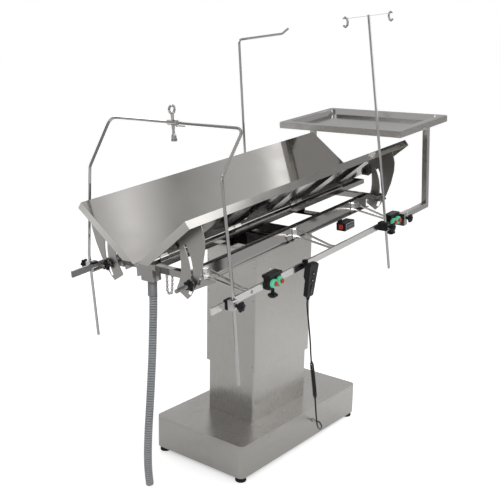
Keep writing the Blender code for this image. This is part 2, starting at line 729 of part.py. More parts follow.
def trough_piece(frame):
    """Build the drain trough with its sump, spigot, hinge saddles and hinge rods."""
    near, far = TROUGH_ENDS
    wall = SHEET
    body = box((near, -TROUGH_HALF, TROUGH_BOTTOM), (far, TROUGH_HALF, TROUGH_TOP))
    sump = box((near, -SUMP_HALF, SUMP_BOTTOM), (SUMP_END, SUMP_HALF, TROUGH_BOTTOM + wall))
    spout = rod((SPIGOT_X, 0.0, SPIGOT_BOTTOM), (SPIGOT_X, 0.0, SUMP_BOTTOM + wall / 2),
                SPIGOT_RADIUS)
    collar = rod((SPIGOT_X, 0.0, SUMP_BOTTOM - 2 * wall), (SPIGOT_X, 0.0, SUMP_BOTTOM + wall / 2),
                 HOSE_RADIUS + wall)
    hollow = box((near + wall, -TROUGH_HALF + wall, TROUGH_BOTTOM + wall),
                 (far - wall, TROUGH_HALF - wall, TROUGH_TOP + wall))
    basin = box((near + wall, -SUMP_HALF + wall, SUMP_BOTTOM + wall),
                (SUMP_END - wall, SUMP_HALF - wall, TROUGH_BOTTOM + 2 * wall))
    bore = rod((SPIGOT_X, 0.0, SPIGOT_BOTTOM - wall), (SPIGOT_X, 0.0, SUMP_BOTTOM + 2 * wall),
               SPIGOT_RADIUS - wall)
    trough = cut(united([body, sump, spout, collar]), [hollow, basin, bore])
    cheek = HINGE_Y + KNUCKLE_RADIUS
    outline = arc((HINGE_Y, HINGE_Z), KNUCKLE_RADIUS - 0.001, 0.0, math.pi / 2, 5)
    outline += arc((-HINGE_Y, HINGE_Z), KNUCKLE_RADIUS - 0.001, math.pi / 2, math.pi, 5)
    outline += [(-cheek, TROUGH_BOTTOM + wall / 2), (cheek, TROUGH_BOTTOM + wall / 2)]
    saddles = [bar_x([outline], x - SADDLE_THICK / 2, x + SADDLE_THICK / 2) for x in SADDLES]
    end = SADDLES[-1] + KNUCKLE_LENGTH + 4 * SADDLE_THICK
    pins = [rod((-end, side * HINGE_Y, HINGE_Z), (end, side * HINGE_Y, HINGE_Z), HINGE_ROD, 8)
            for side in (-1, 1)]
    piece("drain_trough", united([trough, *saddles, *pins]), BRUSHED_STEEL, TOP, frame)


def rail_pieces(frame):
    """Build the two side rails and the stays that carry them."""
    near, far = RAIL_ENDS
    bar = box((near, RAIL_BACK, RAIL_BOTTOM), (far, RAIL_Y, RAIL_TOP))
    web = BEAM_Y + BEAM_SHEET + FIT
    low = BEAM_TOP - BEAM_DEPTH + 2 * BEAM_SHEET
    foot = plate([centred_rectangle((0.030, BEAM_TOP - low), 0.004, 0.0, 1)], BEAM_SHEET,
                 along_y(web + BEAM_SHEET / 2))
    foot = moved(foot, Matrix.Translation((0.0, 0.0, (BEAM_TOP + low) / 2)))
    stays = []
    spread = STAY_SPREAD * STAY_RADIUS
    for height, rise in ((BEAM_TOP - 2 * STAY_RADIUS, spread), (low + 2 * STAY_RADIUS, -spread)):
        meet = (0.0, RAIL_BACK + BEAM_SHEET / 2, RAIL_MID + rise)
        near_rail = (0.0, RAIL_BACK - 0.025, RAIL_MID + rise)
        start = (0.0, web + BEAM_SHEET / 2, height)
        bent = (0.0, web + 0.022, height)
        stays.append(pipe(filleted([start, bent, near_rail, meet], 0.012, 3), STAY_RADIUS, 1))
    pad = plate([centred_rectangle((0.024, PAD_TALL), 0.004, 0.0, 1)], BEAM_SHEET,
                along_y(RAIL_BACK + FIT - BEAM_SHEET / 2))
    pad = moved(pad, Matrix.Translation((0.0, 0.0, RAIL_MID)))
    bracket = united([foot, *stays, pad])
    copies = [moved(bracket, Matrix.Translation((x, 0.0, 0.0))) for x in BRACKET_X]
    rail = united([bar, *copies])
    piece("rail_front", moved(rail, MIRROR), POLISHED_STEEL, TOP, frame)
    piece("rail_back", rail, POLISHED_STEEL, TOP, frame)


def controller_pieces(frame, rocker):
    """Build the controller under the front beam, and its rocker switch."""
    low = (CONTROL_X[0], CONTROL_Y[0], CONTROL_Z[0])
    high = (CONTROL_X[1], CONTROL_Y[1], CONTROL_Z[1])
    corner = 0.004
    body = bar_x([rounded_rectangle(low[1:], high[1:], corner, 3)], low[0], high[0])
    beam_bottom = BEAM_TOP - BEAM_DEPTH
    post = box((low[0] + corner, -BEAM_Y - BEAM_BOTTOM_FLANGE, high[2] - corner),
               (low[0] + 5 * corner, -BEAM_Y - BEAM_SHEET, beam_bottom - FIT))
    pocket = 0.0015
    window = box((low[0] + 2 * corner, low[1] - FIT, low[2] + 2 * corner),
                 (high[0] - 2 * corner, low[1] + pocket, high[2] - 2 * corner))
    middle = (low[1] + high[1]) / 2
    seat = box((low[0] - FIT, middle - 2.5 * corner, low[2] + 2 * corner),
               (low[0] + 2 * pocket, middle + 2.5 * corner, high[2] - 2 * corner))
    body = cut(united([body, post]), [window, seat])
    piece("controller_housing", body, BLACK_PLASTIC, TOP, frame)
    face = low[0]
    low_z = low[2] + 2 * corner + SLIDE
    high_z = high[2] - 2 * corner - SLIDE
    centre = (low_z + high_z) / 2
    swing = [(face + 0.0012, high_z), (face - 0.0022, high_z), (face - 0.0006, centre),
             (face - 0.0022, low_z), (face + 0.0012, low_z), (face + 0.0024, centre)]
    half_y = 2.5 * corner - SLIDE
    piece("controller_rocker", bar_y([swing], middle - half_y, middle + half_y),
          RED_PLASTIC, TOP, rocker)


# V panels

def panel_matrix():
    """Map (x, distance from the hinge, height over the sheet) of the back panel."""
    c, s = math.cos(PANEL_TILT), math.sin(PANEL_TILT)
    return Matrix(((1, 0, 0, 0), (0, c, -s, HINGE_Y), (0, s, c, HINGE_Z), (0, 0, 0, 1)))


def panel_mesh():
    """Fold the back panel from sheet, with its flanges, knuckles and ribs."""
    end = PANEL_END
    top = PANEL_EDGE_N
    drop = top - PANEL_FLANGE
    start = PANEL_EDGE_U
    edge = start + PANEL_WIDTH
    first = start + PANEL_MITRE / 3
    mitre = start + PANEL_MITRE
    stations = (-end, PANEL_MITRE - end, end - PANEL_MITRE, end)
    faces = []
    for a, b in zip(stations, stations[1:]):
        faces += [[(a, start, top), (b, start, top), (b, first, top), (a, first, top)],
                  [(a, first, top), (b, first, top), (b, edge, top), (a, edge, top)],
                  [(a, edge, top), (b, edge, top), (b, edge, drop), (a, edge, drop)]]
    for side in (-1, 1):
        flange = [(side * end, first, top), (side * end, edge, top),
                  (side * end, edge, drop), (side * end, mitre, drop)]
        faces.append(flange if side < 0 else list(reversed(flange)))
    parts = [shell(faces, SHEET)]
    tube = arc((0.0, 0.0), KNUCKLE_RADIUS, math.pi / 3, 2 * math.pi, 8)
    leaf = [(KNUCKLE_RADIUS, top - SHEET - HINGE_LEAF), (mitre, top - SHEET - HINGE_LEAF),
            (mitre, top - SHEET / 2), (start + SHEET, top - SHEET / 2)]
    hole = arc((0.0, 0.0), HINGE_ROD + SLIDE, 0.0, 2 * math.pi, 8)[:-1]
    for x in SADDLES:
        for side in (-1, 1):
            near = x + side * (SADDLE_THICK / 2 + SLIDE)
            far = near + side * KNUCKLE_LENGTH
            parts.append(bar_x([[*tube, *leaf], hole], min(near, far), max(near, far)))
    under = top - SHEET / 2
    foot = RIB_DEPTH
    wall = SHEET
    for x in RIB_X:
        half = RIB_WIDTH / 2
        hat = [(x - half, under), (x - half + foot, under), (x - half + foot, under - RIB_DEPTH + wall),
               (x + half - foot, under - RIB_DEPTH + wall), (x + half - foot, under), (x + half, under),
               (x + half, under - wall), (x + half - foot + wall, under - wall),
               (x + half - foot + wall, under - RIB_DEPTH), (x - half + foot - wall, under - RIB_DEPTH),
               (x - half + foot - wall, under - wall), (x - half, under - wall)]
        parts.append(bar_y([hat], *RIB_SPAN))
    return moved(united(parts), panel_matrix())


def sector_meshes():
    """Cut the two slotted sector plates that stand under the back panel."""
    degrees = math.radians
    outer = [(31.0, 0.3100), (25.0, 0.3010), (18.0, 0.2840), (7.0, 0.2570), (-6.0, 0.2340),
             (-20.0, 0.2150), (-31.0, 0.2030)]
    inner = [(-31.0, 0.1500), (-29.0, 0.1455), (-18.0, 0.1480), (-3.5, 0.1530), (8.0, 0.1580),
             (20.0, 0.1660), (30.0, 0.1800)]
    rise = PANEL_TILT
    under = PANEL_EDGE_N - SHEET - FIT
    along = Vector((math.cos(rise), math.sin(rise)))
    up = Vector((-math.sin(rise), math.cos(rise)))
    outline = []
    edge = PANEL_EDGE_U + PANEL_WIDTH - SHEET - FIT
    for u in (0.190, edge):
        outline.append(tuple(along * u + up * under))
    corner = along * edge + up * (PANEL_EDGE_N - PANEL_FLANGE + SHEET)
    outline.append(tuple(corner))
    for angle, radius in [*outer, *inner]:
        outline.append((radius * math.cos(degrees(angle)), radius * math.sin(degrees(angle))))
    outline.reverse()
    high = CLAMP_ANGLE + PANEL_DOWN + degrees(2.5)
    low = CLAMP_ANGLE - PANEL_UP - degrees(2.5)
    half = SLOT_WIDTH / 2
    slot = arc((0.0, 0.0), SLOT_RADIUS + half, low, high, 10)
    slot += arc((0.0, 0.0), SLOT_RADIUS - half, high, low, 10)
    shifted = [[(y + HINGE_Y, z + HINGE_Z) for y, z in points] for points in (outline, slot)]
    return [bar_x(shifted, x - SECTOR_SHEET / 2, x + SECTOR_SHEET / 2)
            for x in (SECTOR_NEAR, SECTOR_FAR)]


def panel_pieces(front, back):
    """Build both panels, and the sector plates under them."""
    panel = panel_mesh()
    piece("front_panel", moved(panel, MIRROR), BRUSHED_STEEL, TOP, front)
    piece("back_panel", panel, BRUSHED_STEEL, TOP, back)
    for end, sector in zip(("near", "far"), sector_meshes()):
        piece(f"sector_{end}_front", moved(sector, MIRROR), BRUSHED_STEEL, TOP, front)
        piece(f"sector_{end}_back", sector, BRUSHED_STEEL, TOP, back)


def lever_mesh():
    """Shape a lobed clamp lever on its hub, with the bolt along +Z."""
    height = CLAMP_STACK - CLAMP_WASHER - FIT
    bore = CLAMP_BOLT + FIT
    hub = turned([(bore, height), (LEVER_HUB * 0.8, height), (LEVER_HUB, height * 0.8),
                  (LEVER_HUB, 0.0), (bore, 0.0)], BASE, 12, True)
    rim = lobed(LEVER_LOBES, LEVER_RADIUS, 0.82, 30)
    grip = bar_z([rim, arc((0.0, 0.0), (bore + LEVER_HUB) / 2, 0.0, 2 * math.pi, 12)[:-1]],
                 height * 0.25, height * 0.9)
    return united([hub, grip])


def lobed(lobes, radius, mean, count):
    """List the wavy outline of a lobed hand knob."""
    points = []
    for index in range(count):
        angle = 2 * math.pi * index / count
        reach = radius * (mean + (1.0 - mean) * math.cos(lobes * angle))
        points.append((reach * math.cos(angle), reach * math.sin(angle)))
    return points


def lever_places():
    """List each clamp lever's name with the matrix that puts it on its bolt."""
    places = []
    for end, face in (("near", SECTOR_NEAR), ("far", SECTOR_FAR)):
        out = 1 if end == "far" else -1
        for side_name, side in (("front", -1), ("back", 1)):
            y, z = clamp_bolt(side)
            start = face + out * (SECTOR_SHEET / 2 + CLAMP_WASHER + FIT)
            place = Matrix.Translation((start, y, z)) @ Matrix.Rotation(out * math.pi / 2, 4, "Y")
            places.append((f"{end}_{side_name}", (start, y, z), place))
    return places


def lever_pieces(frame):
    """Put the four clamp levers on their bolts."""
    for name, spot, place in lever_places():
        empty = joint(f"lever_{name}_axis", TOP, spot, frame)
        piece(f"clamp_lever_{name}", moved(lever_mesh(), place), BLACK_PLASTIC, TOP, empty)


# Rail accessories

def knob_mesh(reach, neck=KNOB_NECK):
    """Mould a star knob on a stud: the knob faces +Z, its stud ends at -reach."""
    rim = lobed(KNOB_LOBES, KNOB_RADIUS, 0.90, 24)
    head = bar_z([rim], neck, neck + KNOB_HEAD)
    waist = 0.45 * KNOB_RADIUS
    dome = neck + KNOB_HEAD
    body = turned([(0.0, dome + 0.004), (waist, dome + 0.0035), (1.4 * waist, dome - 0.001),
                   (waist, neck + 0.001), (0.8 * waist, neck - 0.005), (0.8 * waist, FIT),
                   (KNOB_STEM, FIT), (KNOB_STEM, -reach), (0.0, -reach)], BASE, 10)
    return united([body, head])


def outward(side):
    """Turn +Z to point along Y on one side."""
    return Matrix.Rotation(-side * math.pi / 2, 4, "X")


def rail_slot(low_x, high_x):
    """Make the cutters that let a clamp straddle the rail and pass its stays."""
    lip = max(PAD_TALL / 2, (1.0 + STAY_SPREAD) * STAY_RADIUS) + SLIDE
    return [box((low_x, RAIL_BACK - SLIDE, RAIL_BOTTOM - SLIDE),
                (high_x, RAIL_Y + SLIDE, RAIL_TOP + SLIDE)),
            box((low_x, RAIL_BACK - 3 * CLAMP_MARGIN, RAIL_MID - lip),
                (high_x, RAIL_BACK, RAIL_MID + lip))]


def clamp_mesh(rod_y, lean=0.0):
    """Cut a rail clamp block: rail slot, pole bore and knob hole, at x = 0."""
    low = (CLAMP_INNER, RAIL_BOTTOM - CLAMP_MARGIN)
    high = (CLAMP_OUTER, RAIL_TOP + CLAMP_MARGIN)
    block = bar_x([rounded_rectangle(low, high, CLAMP_CORNER, 3)], -CLAMP_HALF, CLAMP_HALF)
    slot = rail_slot(-2 * CLAMP_HALF, 2 * CLAMP_HALF)
    length = 0.060
    axis = Vector((0.0, -math.sin(lean), math.cos(lean)))
    centre = Vector((0.0, rod_y, RAIL_MID))
    bore = rod(centre - axis * length, centre + axis * length, POLE_RADIUS + SLIDE)
    hole = rod((0.0, rod_y, RAIL_MID), (0.0, CLAMP_OUTER + length, RAIL_MID), KNOB_STEM + FIT, 12)
    return cut(block, [*slot, bore, hole])


def rail_knob(name, x, side, rod_y, parent):
    """Screw a star knob into the outer face of a rail clamp."""
    empty = joint(f"{name}_axis", TOP, (x, side * CLAMP_OUTER, RAIL_MID), parent)
    reach = CLAMP_OUTER - rod_y - POLE_RADIUS - SLIDE - FIT
    place = Matrix.Translation((x, side * CLAMP_OUTER, RAIL_MID)) @ outward(side)
    piece(name, moved(knob_mesh(reach), place), BLACK_PLASTIC, TOP, empty)


def screen_pieces(frame):
    """Build the screen frame over the near end, with its clamps."""
    middle = (SCREEN_X[-1] + SCREEN_X[1]) / 2
    slide = joint("screen_slide", TOP, (middle, 0.0, RAIL_MID), frame)
    block = clamp_mesh(SCREEN_LEG_Y)
    sides = []
    for side, name in ((-1, "front"), (1, "back")):
        x = SCREEN_X[side]
        spot = Matrix.Translation((x, 0.0, 0.0))
        turned_block = moved(block, spot @ MIRROR if side < 0 else spot)
        piece(f"screen_clamp_{name}", turned_block, BLACK_PLASTIC, TOP, slide)
        rail_knob(f"screen_knob_{name}", x, side, SCREEN_LEG_Y, slide)
        corner, across, height = SCREEN_TOP
        sides.append([(x, side * SCREEN_LEG_Y, SCREEN_FOOT),
                      (x, side * SCREEN_LEG_Y, SCREEN_COLLAR),
                      SCREEN_SHOULDER[side], (corner, side * across, height)])
    lift = joint("screen_height", TOP, (middle, 0.0, RAIL_MID), slide)
    route = [*sides[0], *reversed(sides[1])]
    rounded = filleted(route, 0.030, 4)
    piece("screen_frame", pipe(rounded, SCREEN_ROD, 2), POLISHED_STEEL, TOP, lift)

    x, _, z = SCREEN_TOP
    bar = joint("screen_bar_slide", TOP, (x, 0.0, z), lift)
    ring = SCREEN_ROD + FIT
    sleeve = turned([(0.0090, 0.024), (0.0105, 0.020), (0.0110, 0.0), (0.0105, -0.020),
                     (0.0090, -0.024), (ring, -0.024), (ring, 0.024)],
                    Matrix.Translation((x, 0.0, z)) @ outward(1), 16, True)
    eye = pipe([(x + 0.0140 * math.cos(a), 0.0, z + 0.0460 + 0.0140 * math.sin(a))
                for a in (math.pi / 8 * k for k in range(16))], 0.0045, 1, True)
    stem = rod((x, 0.0, z - 0.024), (x, 0.0, z - 0.009), 0.006, 12)
    hole = rod((x, 0.0, z - 0.030), (x, 0.0, z - SCREEN_ROD), KNOB_STEM + FIT, 12)
    neck = rod((x, 0.0, z + 0.009), (x, 0.0, z + 0.034), 0.0050, 12, 0.0065)
    pin_low = z - 0.0105
    tail = rod((x, -0.017, pin_low), (x, -0.058, pin_low), 0.0022, 8)
    bead = rod((x, -0.016, pin_low), (x, -0.023, pin_low), 0.0042, 10)
    lug = rod((x, -0.0195, pin_low - FIT), (x, -0.0195, z - 0.0080), 0.0030, 8)
    body = cut(united([sleeve, eye, stem, neck, tail, bead, lug]), [hole])
    bore = rod((x, -0.030, z), (x, 0.030, z), ring, 16)
    piece("screen_bar_clamp", cut(body, [bore]), POLISHED_STEEL, TOP, bar)
    turn = joint("screen_bar_knob_axis", TOP, (x, 0.0, z - 0.024), bar)
    tip = 0.024 - ring - BAR_SCREW_GAP
    bell = turned([(0.0, tip), (KNOB_STEM, tip),
                   (KNOB_STEM, -FIT), (0.0048, -FIT), (0.0052, -0.016), (0.0090, -0.022),
                   (0.0100, -0.034), (0.0115, -0.040), (0.0105, -0.043), (0.0, -0.043)],
                  Matrix.Translation((x, 0.0, z - 0.024)), 16)
    piece("screen_bar_knob", bell, POLISHED_STEEL, TOP, turn)


def hook_pieces(frame):
    """Build the hook pole on the back rail."""
    slide = joint("hook_slide", TOP, (HOOK_X, 0.0, RAIL_MID), frame)
    block = moved(clamp_mesh(HOOK_Y), Matrix.Translation((HOOK_X, 0.0, 0.0)))
    piece("hook_clamp", block, BLACK_PLASTIC, TOP, slide)
    rail_knob("hook_knob", HOOK_X, 1, HOOK_Y, slide)
    lift = joint("hook_height", TOP, (HOOK_X, HOOK_Y, RAIL_MID), slide)
    end = HOOK_X + HOOK_REACH
    route = [(HOOK_X, HOOK_Y, HOOK_FOOT), (HOOK_X, HOOK_Y, HOOK_TOP), (end, HOOK_Y, HOOK_TOP),
             (end + 0.050, HOOK_Y, HOOK_TOP + 0.020)]
    piece("hook_pole", pipe(filleted(route, 0.016, 4), POLE_RADIUS, 2), POLISHED_STEEL, TOP, lift)


def iv_pieces(frame):
    """Build the leaning infusion pole on the front rail."""
    slide = joint("iv_slide", TOP, (IV_X, 0.0, RAIL_MID), frame)
    block = moved(clamp_mesh(IV_Y, IV_LEAN), MIRROR @ Matrix.Translation((IV_X, 0.0, 0.0)))
    piece("iv_clamp", block, BLACK_PLASTIC, TOP, slide)
    rail_knob("iv_knob", IV_X, -1, IV_Y, slide)
    axis = Matrix.Translation((IV_X, -IV_Y, RAIL_MID)) @ Matrix.Rotation(-IV_LEAN, 4, "X")
    lift = joint("iv_height", TOP, (IV_X, -IV_Y, RAIL_MID), slide)
    foot = IV_FOOT - RAIL_MID
    top = IV_TOP - RAIL_MID
    shaft = rod((0.0, 0.0, foot), (0.0, 0.0, top - 0.001), POLE_RADIUS, 12)
    half = IV_SPREAD / 2
    loop = IV_LOOP
    quarter = math.pi / 4
    points = []
    for side in (-1, 1):
        turn = [(side * (half - loop * math.sin(quarter * k)), 0.0,
                 top - loop + loop * math.cos(quarter * k)) for k in range(-1, 6)]
        points += turn[::-1] if side < 0 else turn
    bar = pipe(points, 0.0045, 2)
    piece("iv_pole", moved(united([shaft, bar]), axis), POLISHED_STEEL, TOP, lift)


def cleat_pieces(frame, index, x):
    """Build a rope cleat: body on the rail, two cams and the knob below."""
    name = ("near", "far")[index]
    slide = joint(f"cleat_{name}_slide", TOP, (x, 0.0, RAIL_MID), frame)
    bottom = RAIL_BOTTOM - 0.008
    top = RAIL_TOP + 0.014
    outer = RAIL_Y + CLEAT_OUT
    left = x - CLEAT_HALF
    right = x + CLEAT_HALF
    block = bar_x([rounded_rectangle((CLAMP_INNER, bottom), (outer, top), 0.004, 2)],
                  left + 0.004, right)
    lid = bar_x([rounded_rectangle((CLAMP_INNER - 0.003, top - 0.002),
                                   (outer + 0.006, top + 0.010), 0.003, 2)],
                left, right + 0.002)
    slot = rail_slot(left - CLAMP_MARGIN, right + CLAMP_MARGIN)
    knob_x = x + CLEAT_KNOB[0]
    hole = rod((knob_x, RAIL_Y - RAIL_THICK / 2, bottom - 0.010),
               (knob_x, RAIL_Y - RAIL_THICK / 2, RAIL_BOTTOM), KNOB_STEM + FIT, 12)
    cams_x = [x + side * CAM_PITCH / 2 for side in (-1, 1)]
    cam_z = RAIL_MID + 0.004
    body = cut(united([block, lid]), [*slot, hole])
    face = outer + CAM_THICK
    axles = []
    for cx in cams_x:
        axles.append(rod((cx, outer - SHEET, cam_z), (cx, face + SHEET, cam_z), CAM_AXLE, 12))
        axles.append(rod((cx, face + SLIDE, cam_z), (cx, face + 2 * SHEET, cam_z), CAM_CAP, 12))
    piece(f"cleat_{name}_body", moved(united([body, *axles]), MIRROR), BLACK_PLASTIC, TOP, slide)
    for letter, cx in zip("ab", cams_x):
        empty = joint(f"cleat_{name}_cam_{letter}_axis", TOP, (cx, -outer, cam_z), slide)
        rim = []
        for step in range(32):
            angle = 2 * math.pi * step / 32
            tooth = 0.0007 if step % 2 else 0.0
            rim.append((cx + (CAM_RADIUS - tooth) * math.cos(angle),
                        cam_z + (CAM_RADIUS - tooth) * math.sin(angle)))
        hole = arc((cx, cam_z), CAM_AXLE + FIT, 0.0, 2 * math.pi, 12)[:-1]
        disc = bar_y([rim, hole], outer + SLIDE, face)
        piece(f"cleat_{name}_cam_{letter}", moved(disc, MIRROR), MINT_PLASTIC, TOP, empty)
    spot = (knob_x, -(RAIL_Y - RAIL_THICK / 2), bottom)
    empty = joint(f"cleat_{name}_knob_axis", TOP, spot, slide)
    reach = RAIL_BOTTOM - SLIDE - FIT - bottom
    place = Matrix.Translation(spot) @ Matrix.Rotation(math.pi, 4, "X")
    knob = moved(knob_mesh(reach, CLEAT_KNOB[1]), place)
    piece(f"cleat_{name}_knob", knob, BLACK_PLASTIC, TOP, empty)


def tray_pieces(frame):
    """Build the instrument tray over the far end and its support."""
    slide = joint("tray_slide", TOP, (TRAY_CLAMP_X, 0.0, RAIL_MID), frame)
    near, far = TRAY_ENDS
    half = TRAY_HALF
    wide = TRAY_POST
    low = TRAY_TOP - TRAY_FRAME
    rim_top = TRAY_TOP - SHEET - FIT
    bars = [box((near, -half, low), (far, -half + wide, rim_top)),
            box((near, half - wide, low), (far, half, rim_top)),
            box((near, -half + FIT, low + FIT), (near + wide, half - FIT, rim_top - FIT)),
            box((far - wide, -half + FIT, low + FIT), (far, half - FIT, rim_top - FIT))]
    x = TRAY_POST_X
    bottom, arm_top = TRAY_ARM_Z
    for side in (-1, 1):
        y = sorted((side * half, side * (half - wide)))
        inside = (y[0] + FIT, y[1] - FIT)
        bars.append(box((x - wide / 2, inside[0], bottom), (x + wide / 2, inside[1], low + wide / 2)))
        bars.append(box((TRAY_CLAMP_X - CLAMP_HALF - FIT, inside[0] + FIT, bottom + FIT),
                        (x + wide / 2 - FIT, inside[1] - FIT, arm_top)))
        lug = (half - 2 * FIT, CLAMP_OUTER)
        block = bar_x([rounded_rectangle((lug[0], bottom + wide / 4), (lug[1], RAIL_TOP + CLAMP_MARGIN),
                                         0.003, 2)],
                      TRAY_CLAMP_X - CLAMP_HALF, TRAY_CLAMP_X + CLAMP_HALF)
        slot = rail_slot(TRAY_CLAMP_X - 2 * CLAMP_HALF, TRAY_CLAMP_X + 2 * CLAMP_HALF)
        behind = box((TRAY_CLAMP_X - 2 * CLAMP_HALF, lug[0] - CLAMP_MARGIN, RAIL_MID),
                     (TRAY_CLAMP_X + 2 * CLAMP_HALF, RAIL_BACK, RAIL_TOP + 2 * CLAMP_MARGIN))
        hole = rod((TRAY_CLAMP_X, RAIL_Y, RAIL_MID),
                   (TRAY_CLAMP_X, CLAMP_OUTER + CLAMP_HALF, RAIL_MID), KNOB_STEM + FIT, 12)
        block = cut(block, [*slot, behind, hole])
        bars.append(block if side > 0 else moved(block, MIRROR))
    piece("tray_support", united(bars), BRUSHED_STEEL, TOP, slide)

    inset = TRAY_RIM
    middle = ((near + far) / 2, 0.0)
    size = (far - near, 2 * half)
    outer = centred_rectangle(size, 0.010)
    brim = centred_rectangle(size, 0.055, inset, 5)
    floor = centred_rectangle(size, 0.060, inset + 0.010, 5)
    pan = loft_pan(outer, brim, floor, middle)
    piece("tray_pan", pan, POLISHED_STEEL, TOP, slide)
    for side, name in ((-1, "tray_knob_front"), (1, "tray_knob_back")):
        spot = (TRAY_CLAMP_X, side * CLAMP_OUTER, RAIL_MID)
        empty = joint(f"{name}_axis", TOP, spot, slide)
        reach = CLAMP_OUTER - RAIL_Y - SLIDE - FIT
        place = Matrix.Translation(spot) @ outward(side)
        piece(name, moved(knob_mesh(reach), place), BLACK_PLASTIC, TOP, empty)


def loft_pan(outer, brim, floor, middle):
    """Press the tray pan: flat brim, sloping wall and flat floor."""
    brim_plate = plate([outer, brim], SHEET, up_to(TRAY_TOP - SHEET / 2))
    bm = bmesh.new()
    drop = TRAY_TOP - TRAY_DEPTH
    loops = []
    for points, z, more in ((brim, TRAY_TOP - FIT, 0.0), (floor, drop, 0.0),
                            (floor, drop - SHEET, 0.0), (brim, TRAY_TOP - SHEET, SHEET)):
        ring = []
        for x, y in points:
            out = Vector((x, y)).normalized() * more
            ring.append(bm.verts.new((x + out.x, y + out.y, z)))
        loops.append(ring)
    for first, second in ((0, 1), (2, 3), (3, 0)):
        a, b = loops[first], loops[second]
        for k in range(len(a)):
            n = (k + 1) % len(a)
            bm.faces.new((a[k], a[n], b[n], b[k]))
    bm.faces.new(loops[1])
    bm.faces.new(loops[2])
    basin = mesh_from(bm)
    return moved(united([brim_plate, basin]), Matrix.Translation((*middle, 0.0)))


def pendant_pieces(frame):
    """Build the hand control that hangs on the front rail, and its two keys."""
    wide, thick, tall = PENDANT_SIZE
    low_wide, low_thick = PENDANT_TAPER
    top = tall / 2
    corner = 0.012
    front = [(low_wide / 2, corner - top), *arc((wide / 2 - corner, top - corner), corner,
                                                0.0, math.pi / 2, 4)]
    front += arc((corner - wide / 2, top - corner), corner, math.pi / 2, math.pi, 4)
    front += [(-low_wide / 2, corner - top), *arc((corner - low_wide / 2, corner - top), corner,
                                                  math.pi, 1.5 * math.pi, 4)[1:]]
    front += arc((low_wide / 2 - corner, corner - top), corner, 1.5 * math.pi,
                 2 * math.pi, 4)[:-1]
    face = -thick / 2
    edge = 0.006
    side = [(face, edge - top), (face + edge, -top), (face + low_thick - edge, -top),
            (face + low_thick, edge - top), (face + low_thick, 0.0), (-face, corner),
            (-face, top - edge), (-face - edge, top), (face + edge, top), (face, top - edge)]
    body = cut(bar_y([front], -thick, thick), [bar_x([side], -wide, wide)], "INTERSECT")
    middle = face + low_thick / 2
    relief = rod((0.0, middle, -top - 0.010), (0.0, middle, edge - top), 0.006, 12, 0.0085)
    half = 0.010
    rail = TOP @ Vector((PENDANT[0] - VEE_BOTTOM[0], 0.0, RAIL_TOP))
    seat = rail.z + half * math.tan(TOP_PITCH) + FIT
    wall = 0.0022
    out = -RAIL_Y - SLIDE
    back = -RAIL_BACK + SLIDE
    hook = [(out, seat), (out, seat - RAIL_TALL), (out - wall, seat - RAIL_TALL),
            (out - wall, seat + wall), (back + wall, seat + wall),
            (back + wall, seat - RAIL_TALL / 2), (back, seat - RAIL_TALL / 2), (back, seat)]
    boss = box((PENDANT[0] - half, PENDANT[1], seat - RAIL_TALL),
               (PENDANT[0] + half, out - wall / 2, seat - RAIL_TALL / 2))
    clip = united([bar_x([hook], PENDANT[0] - half, PENDANT[0] + half), boss])
    clip = moved(clip, HAND.inverted())
    depth = KEY_SEAT + KEY_TRAVEL + SLIDE
    wells = [rod((0.0, face - edge, z), (0.0, face + depth, z), KEY_RADIUS + SLIDE)
             for z in KEY_PLACES.values()]
    body = cut(united([body, relief, clip]), wells)
    piece("pendant_body", body, BLACK_PLASTIC, HAND, frame)
    for name, z in KEY_PLACES.items():
        spot = (0.0, face + KEY_SEAT, z)
        empty = joint(f"{name}_slide", HAND, spot, frame)
        place = Matrix.Translation(spot) @ outward(-1)
        key = turned([(0.0, 0.0050), (KEY_RADIUS - 0.0015, 0.0050), (KEY_RADIUS, 0.0040),
                      (KEY_RADIUS, 0.0), (0.0, 0.0)], place, 16)
        piece(name, key, DARK_RUBBER, HAND, empty)


# Cords: routes in base coordinates

HOSE_ROUTE = [(-0.6654, 0.000, 0.8104), (-0.6622, 0.000, 0.7810), (-0.6630, 0.000, 0.7200),
              (-0.6665, 0.000, 0.6400), (-0.6710, 0.000, 0.5500), (-0.6775, 0.001, 0.4500),
              (-0.6840, 0.003, 0.3500), (-0.6890, 0.006, 0.2600), (-0.6880, 0.012, 0.1700),
              (-0.6790, 0.020, 0.0900), (-0.6640, 0.028, 0.0170)]
COIL_TOP = (-0.170, -0.3700, 0.478)
COIL_BOTTOM = (-0.132, -0.3700, 0.305)
GLAND = (0.070, -0.2475, 0.100)
PENDANT_ROUTE = [(-0.205, -0.3663, 0.7362), (-0.2048, -0.3645, 0.716), (-0.197, -0.3665, 0.660),
                 (-0.188, -0.3690, 0.600), (-0.182, -0.3710, 0.550), (-0.176, -0.3703, 0.510),
                 COIL_TOP]
COIL_ROUTE = [COIL_TOP, (-0.1560, -0.3702, 0.420), (-0.1430, -0.3703, 0.360), COIL_BOTTOM]
BASE_ROUTE = [COIL_BOTTOM, (-0.1270, -0.3700, 0.275), (-0.1120, -0.3660, 0.220),
              (-0.0750, -0.3500, 0.160), (-0.0150, -0.3250, 0.117), (0.0380, -0.2980, 0.102),
              (0.0680, -0.2680, 0.100), (0.0700, -0.2580, 0.100), GLAND]
CABLE_RADIUS = 0.0032
COIL_RADIUS = 0.0085


def shortened(points, start, end):
    """Draw a route's two ends back along it by small gaps."""
    points = [Vector(p) for p in points]
    points[0] += (points[1] - points[0]).normalized() * start
    points[-1] += (points[-2] - points[-1]).normalized() * end
    return points


